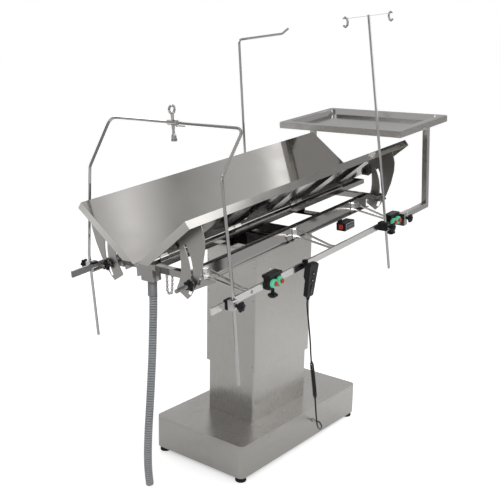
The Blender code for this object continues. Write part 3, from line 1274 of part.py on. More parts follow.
def cord_pieces(frame):
    """Lay the drain hose, and the hand control's lead with its curly stretch."""
    hose = pipe(shortened(smooth(HOSE_ROUTE, 3), FIT, 0.0), HOSE_RADIUS, 2)
    piece("drain_hose", hose, GREY_HOSE, BASE, frame)
    upper = smooth(PENDANT_ROUTE, 2)
    coil = smooth(COIL_ROUTE, 3)
    lower = smooth(BASE_ROUTE, 3)
    fat = COIL_RADIUS / CABLE_RADIUS
    route = shortened([*upper[:-1], *coil, *lower[1:]], FIT, 2 * FIT)
    swell = [1.0] * (len(upper) - 1) + [fat] * len(coil) + [1.0] * (len(lower) - 1)
    lead = pipe(route, CABLE_RADIUS, 1, False, swell)
    piece("pendant_lead", lead, BLACK_PLASTIC, BASE, frame)


# Assembly

clear_scene()
PARTS = collection("operating_table")
CUTTERS = collection("cutters")
ORIGIN = Matrix.Translation((-ORIGIN_X, 0.0, 0.0))

base = joint("base", BASE, (0.0, 0.0, 0.0), None)
lift = joint("lift_axis", BASE, (COLUMN_X, 0.0, UPPER_SLEEVE_BOTTOM), base)
frame = joint("tilt_axis", TOP, TILT_AXIS, lift)
front = joint("front_panel_hinge", TOP, (0.0, -HINGE_Y, HINGE_Z), frame)
back = joint("back_panel_hinge", TOP, (0.0, HINGE_Y, HINGE_Z), frame)
rocker = joint("rocker_axis", TOP, (CONTROL_X[0], sum(CONTROL_Y) / 2, sum(CONTROL_Z) / 2), frame)

base_pieces(base)
lift_pieces(lift)
frame_piece(frame)
trough_piece(frame)
rail_pieces(frame)
controller_pieces(frame, rocker)
panel_pieces(front, back)
lever_pieces(frame)
screen_pieces(frame)
hook_pieces(frame)
iv_pieces(frame)
for number, place_x in enumerate(CLEAT_X):
    cleat_pieces(frame, number, place_x)
tray_pieces(frame)
pendant_pieces(frame)
cord_pieces(frame)
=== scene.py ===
"""Looks of the V-top operating table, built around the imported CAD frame.

Metres, +Z up, in the frame of the CAD part. Places on the pitched top are
written in top coordinates, measured from the bottom of the V, and turned into
the part's frame by TOP; places on the base are written from the base's middle.
"""
import math

import bmesh
import bpy
from mathutils import Matrix, Vector


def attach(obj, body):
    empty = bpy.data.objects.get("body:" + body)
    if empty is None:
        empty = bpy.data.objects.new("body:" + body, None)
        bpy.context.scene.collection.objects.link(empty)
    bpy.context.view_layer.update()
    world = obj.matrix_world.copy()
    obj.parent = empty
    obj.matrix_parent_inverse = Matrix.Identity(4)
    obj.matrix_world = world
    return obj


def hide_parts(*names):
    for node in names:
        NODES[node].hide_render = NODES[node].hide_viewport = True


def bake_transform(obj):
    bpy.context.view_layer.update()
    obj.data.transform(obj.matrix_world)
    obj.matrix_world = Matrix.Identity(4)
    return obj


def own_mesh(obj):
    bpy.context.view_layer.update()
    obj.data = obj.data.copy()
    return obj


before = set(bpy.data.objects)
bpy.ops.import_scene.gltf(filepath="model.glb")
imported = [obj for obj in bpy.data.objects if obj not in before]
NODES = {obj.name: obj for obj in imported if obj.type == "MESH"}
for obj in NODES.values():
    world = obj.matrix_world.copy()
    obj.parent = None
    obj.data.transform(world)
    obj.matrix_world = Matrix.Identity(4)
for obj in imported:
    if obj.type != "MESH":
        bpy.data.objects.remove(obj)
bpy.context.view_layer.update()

# The two sets of coordinates of the part's source
ORIGIN_X = 0.1149
TOP_PITCH = math.radians(6.147)
VEE_BOTTOM = (-0.0038, 0.0, 0.9946)
BASE = Matrix.Translation((-ORIGIN_X, 0.0, 0.0))
TOP = BASE @ Matrix.Translation(VEE_BOTTOM) @ Matrix.Rotation(-TOP_PITCH, 4, "Y")

# Sizes of the part that the details sit on
RAIL_Y = 0.353
RAIL_THICK = 0.008
RAIL_TOP = -0.0885
RAIL_TALL = 0.025
RAIL_MID = RAIL_TOP - RAIL_TALL / 2
RAIL_BOTTOM = RAIL_TOP - RAIL_TALL
CLAMP_OUTER = 0.386
KNOB_NECK = 0.016
SCREEN_X = {"front": -0.672, "back": -0.642}
HOOK_X = 0.350
IV_X = 0.360
TRAY_CLAMP_X = 0.515
TRAY_HALF = 0.327
CLEAT_X = {"near": -0.430, "far": 0.440}
CLEAT_OUTER = 0.369
CLEAT_KNOB_SHIFT = 0.009
CLEAT_KNOB_DROP = 0.008
CLEAT_KNOB_NECK = 0.028
CAM_PITCH = 0.036
CAM_THICK = 0.016
CAM_RADIUS = 0.0165
CAM_AXLE = 0.003
SLIDE = 0.0005
SECTOR = {"near": -0.690, "far": 0.602}
SECTOR_SHEET = 0.003
CLAMP_WASHER = 0.002
CLAMP_STACK = 0.022
CLAMP_BOLT = 0.005
CLAMP_Y = 0.2085
CLAMP_Z = -0.0533
BEAM_Y = 0.140
BEAM_SHEET = 0.003
BEAM_TOP = -0.045
BEAM_DEPTH = 0.053
BRACKET_X = (-0.545, 0.010, 0.465)
CONTROL_X = (0.335, 0.411)
CONTROL_Y = (-0.187, -0.140)
CONTROL_Z = (-0.147, -0.110)
CROSSBAR_X = -0.645
CROSSBAR_LOW = -0.0575
COLUMN_X = -0.0256
UPPER_SLEEVE = (0.390, 0.257)
PENDANT = (-0.205, -0.3725, 0.815)
PENDANT_FACE = -0.013
PENDANT_LEAN = math.radians(7.0)
KEY_FACE = -0.0145
KEY_PLACES = {"pendant_up_key": 0.028, "pendant_down_key": 0.0}
HAND = BASE @ Matrix.Translation(PENDANT) @ Matrix.Rotation(PENDANT_LEAN, 4, "X")
# Gap of a detail round its bolt or off its seat, and of one that lies flat on a face
GAP = 0.0003
LAID = 0.0001


# Camera: the place and lens that the photograph's straight edges give

CAMERA_PLACE = (-2.7973, -2.0185, 1.6387)
CAMERA_YAW = math.radians(37.98)
CAMERA_DOWN = math.radians(13.52)
CAMERA_ROLL = math.radians(1.0025)
CAMERA_LENS = 58.71
SENSOR = 36.0


def add_camera():
    """Put the camera where the photographer stood."""
    ahead = Vector((math.cos(CAMERA_YAW) * math.cos(CAMERA_DOWN),
                    math.sin(CAMERA_YAW) * math.cos(CAMERA_DOWN), -math.sin(CAMERA_DOWN)))
    right = Vector((math.sin(CAMERA_YAW), -math.cos(CAMERA_YAW), 0.0))
    up = right.cross(ahead)
    rolled = right * math.cos(CAMERA_ROLL) + up * math.sin(CAMERA_ROLL)
    up = rolled.cross(ahead)
    turn = Matrix((rolled, up, -ahead)).transposed().to_4x4()
    data = bpy.data.cameras.new("camera")
    data.lens = CAMERA_LENS
    data.sensor_width = SENSOR
    camera = bpy.data.objects.new("camera", data)
    camera.matrix_world = Matrix.Translation(CAMERA_PLACE) @ turn
    bpy.context.scene.collection.objects.link(camera)
    bpy.context.scene.camera = camera


# Mesh helpers

def new_object(name, mesh, material, body=None):
    """Link a mesh as a piece with its material, riding on a body."""
    thing = bpy.data.objects.new(name, mesh)
    bpy.context.scene.collection.objects.link(thing)
    mesh.materials.clear()
    mesh.materials.append(material)
    if body is not None:
        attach(thing, body)
    return thing


def finished(bm, sharp):
    """Turn a bmesh into a smooth-shaded mesh, with edges sharp above an angle."""
    bmesh.ops.recalc_face_normals(bm, faces=bm.faces)
    mesh = bpy.data.meshes.new("piece")
    bm.to_mesh(mesh)
    bm.free()
    mesh.shade_smooth()
    mesh.set_sharp_from_angle(angle=math.radians(sharp))
    return mesh


def loft(bm, rings, caps=True, closed=False):
    """Bridge rings of points that have the same number of corners.

    The two ends are capped or left open, or closed bridges the last ring to the first.
    """
    loops = [[bm.verts.new(point) for point in ring] for ring in rings]
    pairs = list(zip(loops, loops[1:]))
    if closed:
        pairs.append((loops[-1], loops[0]))
    for a, b in pairs:
        for k in range(len(a)):
            n = (k + 1) % len(a)
            bm.faces.new((a[k], a[n], b[n], b[k]))
    if caps and not closed:
        bm.faces.new(loops[0])
        bm.faces.new(list(reversed(loops[-1])))


def angles(count):
    """List evenly spaced angles, once round."""
    return [2 * math.pi * k / count for k in range(count)]


def ring_points(sides, lobes, radius, height, lobe=0.0):
    """List a ring about Z, whose radius sinks by twice lobe between its lobes."""
    points = []
    for angle in angles(sides):
        r = radius * (1.0 - lobe + lobe * math.cos(lobes * angle))
        points.append((r * math.cos(angle), r * math.sin(angle), height))
    return points


def lathe(bm, profile, place, sides, lobes=0, bored=False):
    """Turn a profile about Z, with its ends closed, or joined round a bore.

    The profile has rows of radius and height, and of lobe where the rim has lobes.
    """
    rings = [[place @ Vector(p) for p in ring_points(sides, lobes, *row)] for row in profile]
    loft(bm, rings, not bored, bored)


def smooth(points, per_span=8):
    """Read a smooth curve through the points of a cord's route."""
    ends = [Vector(p) for p in points]
    ends = [ends[0] * 2 - ends[1], *ends, ends[-1] * 2 - ends[-2]]
    out = []
    for a, b, c, d in zip(ends, ends[1:], ends[2:], ends[3:]):
        for step in range(per_span):
            t = step / per_span
            out.append(0.5 * (2 * b + (c - a) * t + (2 * a - 5 * b + 4 * c - d) * t ** 2
                              + (3 * b - a - 3 * c + d) * t ** 3))
    out.append(ends[-2])
    return out


def even(points, step):
    """Space points evenly along a line of points, about step apart."""
    lengths = [0.0]
    for a, b in zip(points, points[1:]):
        lengths.append(lengths[-1] + (b - a).length)
    count = max(2, round(lengths[-1] / step))
    out = []
    k = 0
    for index in range(count + 1):
        target = lengths[-1] * index / count
        while k < len(lengths) - 2 and lengths[k + 1] < target:
            k += 1
        span = lengths[k + 1] - lengths[k]
        out.append(points[k].lerp(points[k + 1], (target - lengths[k]) / span))
    return out


def length_of(points):
    """Add up the length of a line of points."""
    return sum((b - a).length for a, b in zip(points, points[1:]))


def frames_along(points):
    """Carry a pair of cross axes along a line without twist."""
    ahead = [(b - a).normalized() for a, b in zip(points, points[1:])]
    ahead.append(ahead[-1])
    middle = [ahead[0]] + [(a + b).normalized() for a, b in zip(ahead, ahead[1:])]
    side = middle[0].orthogonal().normalized()
    out = []
    for direction in middle:
        side = (side - direction * side.dot(direction)).normalized()
        out.append((side, direction.cross(side)))
    return out


def tube(bm, points, radii, sides, caps=True):
    """Sweep a round section, whose radius is given at each point."""
    rings = []
    for point, radius, (a, b) in zip(points, radii, frames_along(points)):
        rings.append([point + (a * math.cos(t) + b * math.sin(t)) * radius
                      for t in angles(sides)])
    loft(bm, rings, caps)


def facing(point, direction):
    """Put +Z at a point, looking along a direction."""
    turn = Vector(direction).to_track_quat("Z", "Y").to_matrix().to_4x4()
    return Matrix.Translation(point) @ turn


# Materials

# Sizes of the steel's clouds, its brush lines and its speckle, and of wear
CLOUD_SIZE = (0.22, 0.16, 0.16)
LONG = 0.16
FINE = 0.0008
GRAIN_X = (LONG, FINE, FINE)
GRAIN_Z = (FINE, FINE, LONG)
SPECKLE = (0.001, 0.001, 0.001)
WEAR_SIZE = (0.03, 0.03, 0.03)
GRAIN_DEPTH = 0.0002
# Brush directions, a little off the axes so that no face looks straight along one
BRUSH_X = (0.99, 0.02, 0.11)
BRUSH_Z = (0.02, 0.03, 1.0)
# How far brushing spreads a highlight, and the highlight's turn from the tangent
ANISOTROPY = 0.85
QUARTER_TURN = 0.25
# How far brush lines, clouds, wear and speckle move the roughness, down and up
LINE_SPREAD = (-0.02, 0.02)
CLOUD_SPREAD = (-0.03, 0.04)
WEAR_SPREAD = (-0.05, 0.08)
SPECKLE_SPREAD = (-0.06, 0.02)
# Gain and lift of a plastic's colour where it is worn
WORN_GAIN = 1.25
WORN_LIFT = 0.004
# Specular level of the dark plastics
DARK_SHINE = 0.25
# Half the width over which a two-tone clamp turns from plastic to steel
TONE_EDGE = 0.0002


def shader_tree(name, colour, metallic, roughness):
    """Start a material and return it with its tree, shader and object coordinates."""
    material = bpy.data.materials.new(name)
    material.use_nodes = True
    tree = material.node_tree
    shader = tree.nodes["Principled BSDF"]
    shader.inputs["Base Color"].default_value = (*colour, 1.0)
    shader.inputs["Metallic"].default_value = metallic
    shader.inputs["Roughness"].default_value = roughness
    coordinates = tree.nodes.new("ShaderNodeTexCoord")
    return material, tree, shader, coordinates.outputs["Object"]


def feed(tree, socket, value):
    """Link another node's output to a socket, or set it to a number or a colour."""
    if isinstance(value, bpy.types.NodeSocket):
        tree.links.new(value, socket)
    elif isinstance(value, float):
        socket.default_value = value
    else:
        socket.default_value = (*value, 1.0)


def computed(tree, operation, *values):
    """Work out a number from other nodes' outputs and numbers."""
    node = tree.nodes.new("ShaderNodeMath")
    node.operation = operation
    for socket, value in zip(node.inputs, values):
        feed(tree, socket, value)
    return node.outputs["Value"]


def stretched(tree, vector, size):
    """Map coordinates so that a noise has features of the given size."""
    mapping = tree.nodes.new("ShaderNodeMapping")
    mapping.vector_type = "TEXTURE"
    mapping.inputs["Scale"].default_value = size
    tree.links.new(vector, mapping.inputs["Vector"])
    return mapping.outputs["Vector"]


def noise(tree, vector, size, detail, roughness=0.55):
    """Add a noise texture with features of the given size, and return its value."""
    node = tree.nodes.new("ShaderNodeTexNoise")
    node.inputs["Scale"].default_value = 1.0
    node.inputs["Detail"].default_value = detail
    node.inputs["Roughness"].default_value = roughness
    tree.links.new(stretched(tree, vector, size), node.inputs["Vector"])
    return node.outputs["Fac"]


def remap(tree, value, low, high, start=0.3, end=0.7):
    """Map a value, by default the middle of a noise's range, to a range of numbers."""
    node = tree.nodes.new("ShaderNodeMapRange")
    for socket, number in (("From Min", start), ("From Max", end),
                           ("To Min", low), ("To Max", high)):
        node.inputs[socket].default_value = number
    tree.links.new(value, node.inputs["Value"])
    return node.outputs["Result"]


def blended(tree, factor, first, second, mode="MIX"):
    """Mix two colours by a factor, or combine them in another mode."""
    node = tree.nodes.new("ShaderNodeMix")
    node.data_type = "RGBA"
    node.blend_type = mode
    for socket, value in (("Factor", factor), ("A", first), ("B", second)):
        feed(tree, node.inputs[socket], value)
    return node.outputs["Result"]


def bumped(tree, shader, height, strength):
    """Drive the shader's normal by the height of a fine grain."""
    node = tree.nodes.new("ShaderNodeBump")
    node.inputs["Strength"].default_value = strength
    node.inputs["Distance"].default_value = GRAIN_DEPTH
    tree.links.new(height, node.inputs["Height"])
    tree.links.new(node.outputs["Normal"], shader.inputs["Normal"])


def roughened(tree, value, roughness, spread):
    """Move a roughness down and up by a noise value."""
    return remap(tree, value, roughness + spread[0], roughness + spread[1])


def steel(name, colour, roughness, grain, brush=None, streak=0.03, bump=0.05):
    """Make stainless steel, with grain of the given sizes and a brushing direction.

    Brushed steel spreads its reflections across the brushing, so the highlight is
    turned a quarter from the tangent, which runs along the brush lines.
    """
    dark = tuple(c * (1.0 - streak) for c in colour)
    light = tuple(min(1.0, c * (1.0 + streak)) for c in colour)
    material, tree, shader, vector = shader_tree(name, colour, 1.0, roughness)
    lines = noise(tree, vector, grain, detail=4.0, roughness=0.6)
    clouds = noise(tree, vector, CLOUD_SIZE, detail=3.0)
    tree.links.new(blended(tree, remap(tree, lines, 0.0, 1.0), dark, light),
                   shader.inputs["Base Color"])
    uneven = computed(tree, "ADD", remap(tree, lines, *LINE_SPREAD),
                      roughened(tree, clouds, roughness, CLOUD_SPREAD))
    tree.links.new(uneven, shader.inputs["Roughness"])
    bumped(tree, shader, lines, bump)
    if brush is not None:
        along = tree.nodes.new("ShaderNodeCombineXYZ")
        for socket, number in zip(("X", "Y", "Z"), brush):
            along.inputs[socket].default_value = number
        tree.links.new(along.outputs["Vector"], shader.inputs["Tangent"])
        shader.inputs["Anisotropic"].default_value = ANISOTROPY
        shader.inputs["Anisotropic Rotation"].default_value = QUARTER_TURN
    return material


def moulded(name, colour, roughness, grain=0.0012, bump=0.12, shine=0.5):
    """Make plastic or rubber with a fine moulded grain and a little wear."""
    material, tree, shader, vector = shader_tree(name, colour, 0.0, roughness)
    shader.inputs["Specular IOR Level"].default_value = shine
    fine = noise(tree, vector, (grain, grain, grain), detail=2.0)
    worn = noise(tree, vector, WEAR_SIZE, detail=4.0, roughness=0.65)
    light = tuple(min(1.0, c * WORN_GAIN + WORN_LIFT) for c in colour)
    tree.links.new(blended(tree, remap(tree, worn, 0.0, 1.0), colour, light),
                   shader.inputs["Base Color"])
    tree.links.new(roughened(tree, worn, roughness, WEAR_SPREAD), shader.inputs["Roughness"])
    bumped(tree, shader, fine, bump)
    return material


def two_tone(name, limit, plastic, metal, roughness, bump=0.08):
    """Make a clamp's material: plastic by the rail, and steel beyond a limit in Y."""
    material, tree, shader, vector = shader_tree(name, plastic, 0.0, roughness)
    split = tree.nodes.new("ShaderNodeSeparateXYZ")
    tree.links.new(vector, split.inputs["Vector"])
    reach = computed(tree, "ABSOLUTE", split.outputs["Y"])
    mask = remap(tree, reach, 0.0, 1.0, limit - TONE_EDGE, limit + TONE_EDGE)
    tree.links.new(mask, shader.inputs["Metallic"])
    tree.links.new(blended(tree, mask, plastic, metal), shader.inputs["Base Color"])
    fine = noise(tree, vector, SPECKLE, detail=2.0)
    tree.links.new(roughened(tree, fine, roughness, SPECKLE_SPREAD), shader.inputs["Roughness"])
    shader.inputs["Specular IOR Level"].default_value = DARK_SHINE
    bumped(tree, shader, fine, bump)
    return material


SHEET_TONE = (0.50, 0.485, 0.465)
BRIGHT_TONE = (0.62, 0.61, 0.60)
FRAME_TONE = (0.36, 0.35, 0.34)
# A dim steel grey: on the back rail it is painted shade, and it is also the rail bolts' dark
# steel
DIM_TONE = (0.22, 0.22, 0.22)
JET_TONE = (0.008, 0.008, 0.009)
SOOT_TONE = (0.012, 0.012, 0.013)
CLAMP_STEEL_Y = 0.3600

PANEL_STEEL = steel("panel_steel", SHEET_TONE, 0.11, GRAIN_X, BRUSH_X)
SECTOR_STEEL = steel("sector_steel", (0.40, 0.39, 0.37), 0.34, GRAIN_X)
FRAME_STEEL = steel("frame_steel", FRAME_TONE, 0.13, GRAIN_X)
BASE_STEEL = steel("base_steel", SHEET_TONE, 0.25, GRAIN_X, BRUSH_X)
SLEEVE_STEEL = steel("sleeve_steel", SHEET_TONE, 0.27, GRAIN_Z, BRUSH_Z)
ROD_STEEL = steel("rod_steel", (0.55, 0.54, 0.53), 0.10, GRAIN_Z, streak=0.02, bump=0.02)
RAIL_STEEL = steel("rail_steel", (0.74, 0.73, 0.72), 0.14, GRAIN_X, BRUSH_X, bump=0.03)
# The back rail's steel is the rail steel darkened, as painted shade for its dimmer look
SHADED_BACK_RAIL_STEEL = steel("back_rail_steel", DIM_TONE, 0.16, GRAIN_X, BRUSH_X, bump=0.03)
TRAY_STEEL = steel("tray_steel", (0.56, 0.55, 0.54), 0.10, GRAIN_X, streak=0.02, bump=0.02)
TUBE_STEEL = steel("tube_steel", SHEET_TONE, 0.26, GRAIN_X, BRUSH_X)
SCREW_STEEL = steel("screw_steel", BRIGHT_TONE, 0.20, SPECKLE, streak=0.05)
DARK_STEEL = steel("dark_steel", DIM_TONE, 0.30, SPECKLE)
PAINT = moulded("black_paint", SOOT_TONE, 0.35, shine=DARK_SHINE)
BLACK_PLASTIC = moulded("black_plastic", JET_TONE, 0.30, shine=0.22)
GLOSS_BLACK = moulded("gloss_black", (0.005, 0.005, 0.006), 0.16, grain=0.004, bump=0.03,
                      shine=DARK_SHINE)
RUBBER = moulded("foot_rubber", SOOT_TONE, 0.60, shine=DARK_SHINE)
HOSE_PLASTIC = moulded("hose_plastic", (0.30, 0.31, 0.32), 0.38)
# Painted shade for the hollows of the hose's corrugations
GROOVE_SHADE_PLASTIC = moulded("groove_plastic", (0.10, 0.105, 0.11), 0.55)
CUFF_PLASTIC = moulded("cuff_plastic", (0.21, 0.215, 0.22), 0.34)
LEAD_PLASTIC = moulded("lead_plastic", (0.006, 0.006, 0.007), 0.35, shine=DARK_SHINE)
MINT = moulded("mint_plastic", (0.14, 0.72, 0.42), 0.34)
CLAMP_TWO_TONE = two_tone("clamp_two_tone", CLAMP_STEEL_Y, JET_TONE, (0.58, 0.57, 0.56), 0.28)
RED = moulded("red_plastic", (0.56, 0.03, 0.02), 0.30)
PALE_KEY = moulded("key_marks", (0.55, 0.56, 0.57), 0.45)
BEZEL = moulded("bezel_plastic", (0.42, 0.44, 0.46), 0.35)
DISPLAY = moulded("display_glass", (0.10, 0.105, 0.11), 0.12, grain=0.02, bump=0.0)

NODE_MATERIALS = {
    PANEL_STEEL: ["front_panel", "back_panel"],
    SECTOR_STEEL: ["sector_near_front", "sector_near_back", "sector_far_front",
                   "sector_far_back"],
    FRAME_STEEL: ["table_frame", "drain_trough"],
    TUBE_STEEL: ["tray_support"],
    BASE_STEEL: ["base_skirt", "base_lid"],
    SLEEVE_STEEL: ["lower_sleeve", "upper_sleeve"],
    RAIL_STEEL: ["rail_front"],
    SHADED_BACK_RAIL_STEEL: ["rail_back"],
    TRAY_STEEL: ["tray_pan"],
    ROD_STEEL: ["screen_frame", "hook_pole", "iv_pole", "screen_bar_clamp", "screen_bar_knob",
                "actuator_rod"],
    PAINT: ["base_chassis", "column_outer_tube", "lift_actuator", "column_inner_tube",
            "head_bracket"],
    RUBBER: ["foot_near_front", "foot_near_back", "foot_far_front", "foot_far_back",
             "pendant_up_key", "pendant_down_key"],
    CLAMP_TWO_TONE: ["screen_clamp_front", "screen_clamp_back"],
    BLACK_PLASTIC: ["controller_housing", "hook_clamp", "iv_clamp", "cleat_near_body",
                    "cleat_far_body", "pendant_body"],
    GLOSS_BLACK: ["clamp_lever_near_front", "clamp_lever_near_back", "clamp_lever_far_front",
                  "clamp_lever_far_back", "screen_knob_front", "screen_knob_back", "hook_knob",
                  "iv_knob", "cleat_near_knob", "cleat_far_knob", "tray_knob_front",
                  "tray_knob_back"],
    RED: ["controller_rocker"],
    MINT: ["cleat_near_cam_a", "cleat_near_cam_b", "cleat_far_cam_a", "cleat_far_cam_b"],
    HOSE_PLASTIC: ["drain_hose"],
    LEAD_PLASTIC: ["pendant_lead"],
}
# Width of each node's softened edges, and the angles up to which faces are joined to
# one plane, and above which an edge is softened
EDGE_RADII = {
    "front_panel": 0.0016, "back_panel": 0.0016, "base_lid": 0.0015, "table_frame": 0.0012,
    "tray_support": 0.0022, "drain_trough": 0.0008, "rail_front": 0.0008, "rail_back": 0.0008,
    "tray_pan": 0.0008, "controller_housing": 0.0015, "pendant_body": 0.0022,
    "screen_clamp_front": 0.0012, "screen_clamp_back": 0.0012, "hook_clamp": 0.0012,
    "iv_clamp": 0.0012, "cleat_near_body": 0.0010, "cleat_far_body": 0.0010,
    "base_skirt": 0.0010,
}
FLAT_ANGLE = 1.0
EDGE_ANGLE = 40.0
EDGE_SEGMENTS = 3


def dress_nodes():
    """Give every CAD node its material and soften the sheet and bar edges."""
    for material, names in NODE_MATERIALS.items():
        for name in names:
            data = NODES[name].data
            data.materials.clear()
            data.materials.append(material)
    for name, radius in EDGE_RADII.items():
        node = NODES[name]
        flat = node.modifiers.new("planes", "DECIMATE")
        flat.decimate_type = "DISSOLVE"
        flat.angle_limit = math.radians(FLAT_ANGLE)
        round_edge = node.modifiers.new("edges", "BEVEL")
        round_edge.width = radius
        round_edge.segments = EDGE_SEGMENTS
        round_edge.limit_method = "ANGLE"
        round_edge.angle_limit = math.radians(EDGE_ANGLE)
        round_edge.harden_normals = True


# Cords: the routes of the part's source, from the base's middle

HOSE_ROUTE = [(-0.6654, 0.000, 0.8104), (-0.6622, 0.000, 0.7810), (-0.6630, 0.000, 0.7200),
              (-0.6665, 0.000, 0.6400), (-0.6710, 0.000, 0.5500), (-0.6775, 0.001, 0.4500),
              (-0.6840, 0.003, 0.3500), (-0.6890, 0.006, 0.2600), (-0.6880, 0.012, 0.1700),
              (-0.6790, 0.020, 0.0900), (-0.6640, 0.028, 0.0170)]
HOSE_RADIUS = 0.0155
HOSE_GROOVE = 0.0032
HOSE_PITCH = 0.0098
# Height of one corrugation at even steps from groove to groove
HOSE_WAVE = (0.0, 0.30, 0.80, 0.97, 1.0, 0.97, 0.80, 0.30)
HOSE_SIDES = 28
# Share of the hose that is its upper length
HOSE_SPLIT = 0.46
CUFF_RADIUS = 0.0172
CUFF_TOP = 0.8385
CUFF_LENGTH = 0.056
CUFF_SIDES = 36
CUFF_PROFILE = ((CUFF_RADIUS - 0.0012, 0.0), (CUFF_RADIUS, 0.0010),
                (CUFF_RADIUS, CUFF_LENGTH - 0.006), (CUFF_RADIUS + 0.0006, CUFF_LENGTH - 0.005),
                (CUFF_RADIUS + 0.0006, CUFF_LENGTH - 0.001), (CUFF_RADIUS - 0.0008, CUFF_LENGTH))
COIL_TOP = (-0.170, -0.3700, 0.478)
COIL_BOTTOM = (-0.132, -0.3700, 0.305)
GLAND = (0.070, -0.2475, 0.100)
PENDANT_ROUTE = [(-0.205, -0.3663, 0.7362), (-0.2048, -0.3645, 0.716), (-0.197, -0.3665, 0.660),
                 (-0.188, -0.3690, 0.600), (-0.182, -0.3710, 0.550), (-0.176, -0.3703, 0.510),
                 COIL_TOP]
COIL_ROUTE = [COIL_TOP, (-0.1560, -0.3702, 0.420), (-0.1430, -0.3703, 0.360), COIL_BOTTOM]
BASE_ROUTE = [COIL_BOTTOM, (-0.1270, -0.3700, 0.275), (-0.1120, -0.3660, 0.220),
              (-0.0750, -0.3500, 0.160), (-0.0150, -0.3250, 0.117), (0.0380, -0.2980, 0.102),
              (0.0680, -0.2680, 0.100), (0.0700, -0.2580, 0.100), GLAND]
LEAD_RADIUS = 0.0032
COIL_RADIUS = 0.0088
COIL_TURNS = 18
COIL_STEPS = 16
# The turns widen from the cord's line over one part in this many at each end
COIL_OPENING = 12
LEAD_SIDES = 12
COIL_SIDES = 10
LEAD_STEP = 0.004
AXIS_STEP = 0.001


def placed(points):
    """Move a route from base coordinates to the part's frame."""
    return [BASE @ Vector(p) for p in points]


def add_hose():
    """Build the corrugated drain hose in two lengths, which meet in a groove.

    The upper length stays where it is built, and the lower length rides on the
    lift. A smooth cuff holds the hose on the sump's spigot.
    """
    line = placed(smooth(HOSE_ROUTE))
    total = length_of(line)
    count = round(total / HOSE_PITCH)
    samples = len(HOSE_WAVE)
    points = even(line, total / (count * samples))
    radii = [HOSE_RADIUS - HOSE_GROOVE * (1.0 - HOSE_WAVE[k % samples])
             for k in range(len(points))]
    bm = bmesh.new()
    spout = placed([(HOSE_ROUTE[0][0], 0.0, CUFF_TOP)])[0]
    down = (points[0] - spout).normalized()
    lathe(bm, CUFF_PROFILE, facing(spout, down), CUFF_SIDES)
    cuff = new_object("hose_cuff", finished(bm, sharp=60.0), CUFF_PLASTIC, "table_top")
    split = round(count * HOSE_SPLIT) * samples
    for name, part in (("hose_upper", slice(0, split + 1)), ("hose_lower", slice(split, None))):
        path = points[part]
        bm = bmesh.new()
        tube(bm, path, radii[part], HOSE_SIDES)
        mesh = finished(bm, sharp=80.0)
        hose = new_object(name, mesh, HOSE_PLASTIC)
        # The faces round each groove take the darker material, as painted shade in the hollows
        mesh.materials.append(GROOVE_SHADE_PLASTIC)
        for face in mesh.polygons[:HOSE_SIDES * (len(path) - 1)]:
            face.material_index = int((face.index // HOSE_SIDES) % samples in (0, samples - 1))
        if name == "hose_upper":
            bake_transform(hose)
            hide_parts("drain_hose")
        else:
            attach(hose, "lift")
            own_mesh(hose)


def add_lead():
    """Build the hand control's lead: straight, curly and straight again.

    The three lengths stay where they are built and ride on no body.
    """
    upper = even(placed(smooth(PENDANT_ROUTE)), LEAD_STEP)
    lower = even(placed(smooth(BASE_ROUTE)), LEAD_STEP)
    axis = even(placed(smooth(COIL_ROUTE, per_span=16)), AXIS_STEP)
    cross = frames_along(axis)
    steps = COIL_TURNS * COIL_STEPS
    mean = COIL_RADIUS - LEAD_RADIUS
    coil = []
    for k in range(steps + 1):
        share = k / steps
        where = share * (len(axis) - 1)
        low = min(int(where), len(axis) - 2)
        centre = axis[low].lerp(axis[low + 1], where - low)
        a, b = cross[low]
        ease = min(1.0, share * COIL_OPENING, (1.0 - share) * COIL_OPENING)
        angle = 2 * math.pi * COIL_TURNS * share
        coil.append(centre + (a * math.cos(angle) + b * math.sin(angle)) * mean * ease)
    made = []
    for name, points, sides in (("lead_upper", upper, LEAD_SIDES),
                                ("lead_coil", coil, COIL_SIDES),
                                ("lead_lower", lower, LEAD_SIDES)):
        bm = bmesh.new()
        tube(bm, points, [LEAD_RADIUS] * len(points), sides)
        lead = new_object(name, finished(bm, sharp=80.0), LEAD_PLASTIC)
        made.append((lead, points))
    (first, upper), (curly, coil), (last, lower) = made
    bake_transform(first)
    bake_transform(curly)
    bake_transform(last)
    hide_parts("pendant_lead")


# Details: profiles are those of lathe, and heights are along the detail's own axis

KNOB_SIDES = 72
KNOB_LOBES = 6
KNOB_FOOT = (0.0066, 0.0020)
# The head's heights are measured from the end of the neck
KNOB_HEAD = ((0.0070, -0.0040, 0.0), (0.0092, -0.0012, 0.02), (0.0155, 0.0002, 0.09),
             (0.0182, 0.0016, 0.11), (0.0190, 0.0040, 0.11), (0.0190, 0.0080, 0.11),
             (0.0183, 0.0104, 0.11), (0.0164, 0.0119, 0.10), (0.0132, 0.0124, 0.05),
             (0.0108, 0.0121, 0.0), (0.0100, 0.0134, 0.0), (0.0084, 0.0150, 0.0),
             (0.0046, 0.0158, 0.0), (0.0012, 0.0160, 0.0))
STUD_SIDES = 28
STUD_PROFILE = ((0.0029, -0.010), (0.0029, GAP), (0.0082, GAP), (0.0086, 0.0007),
                (0.0086, 0.0018), (0.0080, 0.0021))
LEVER_SIDES = 80
LEVER_LOBES = 5
LEVER_BORE = CLAMP_BOLT + GAP
LEVER_HEIGHT = CLAMP_STACK - CLAMP_WASHER - 2 * GAP
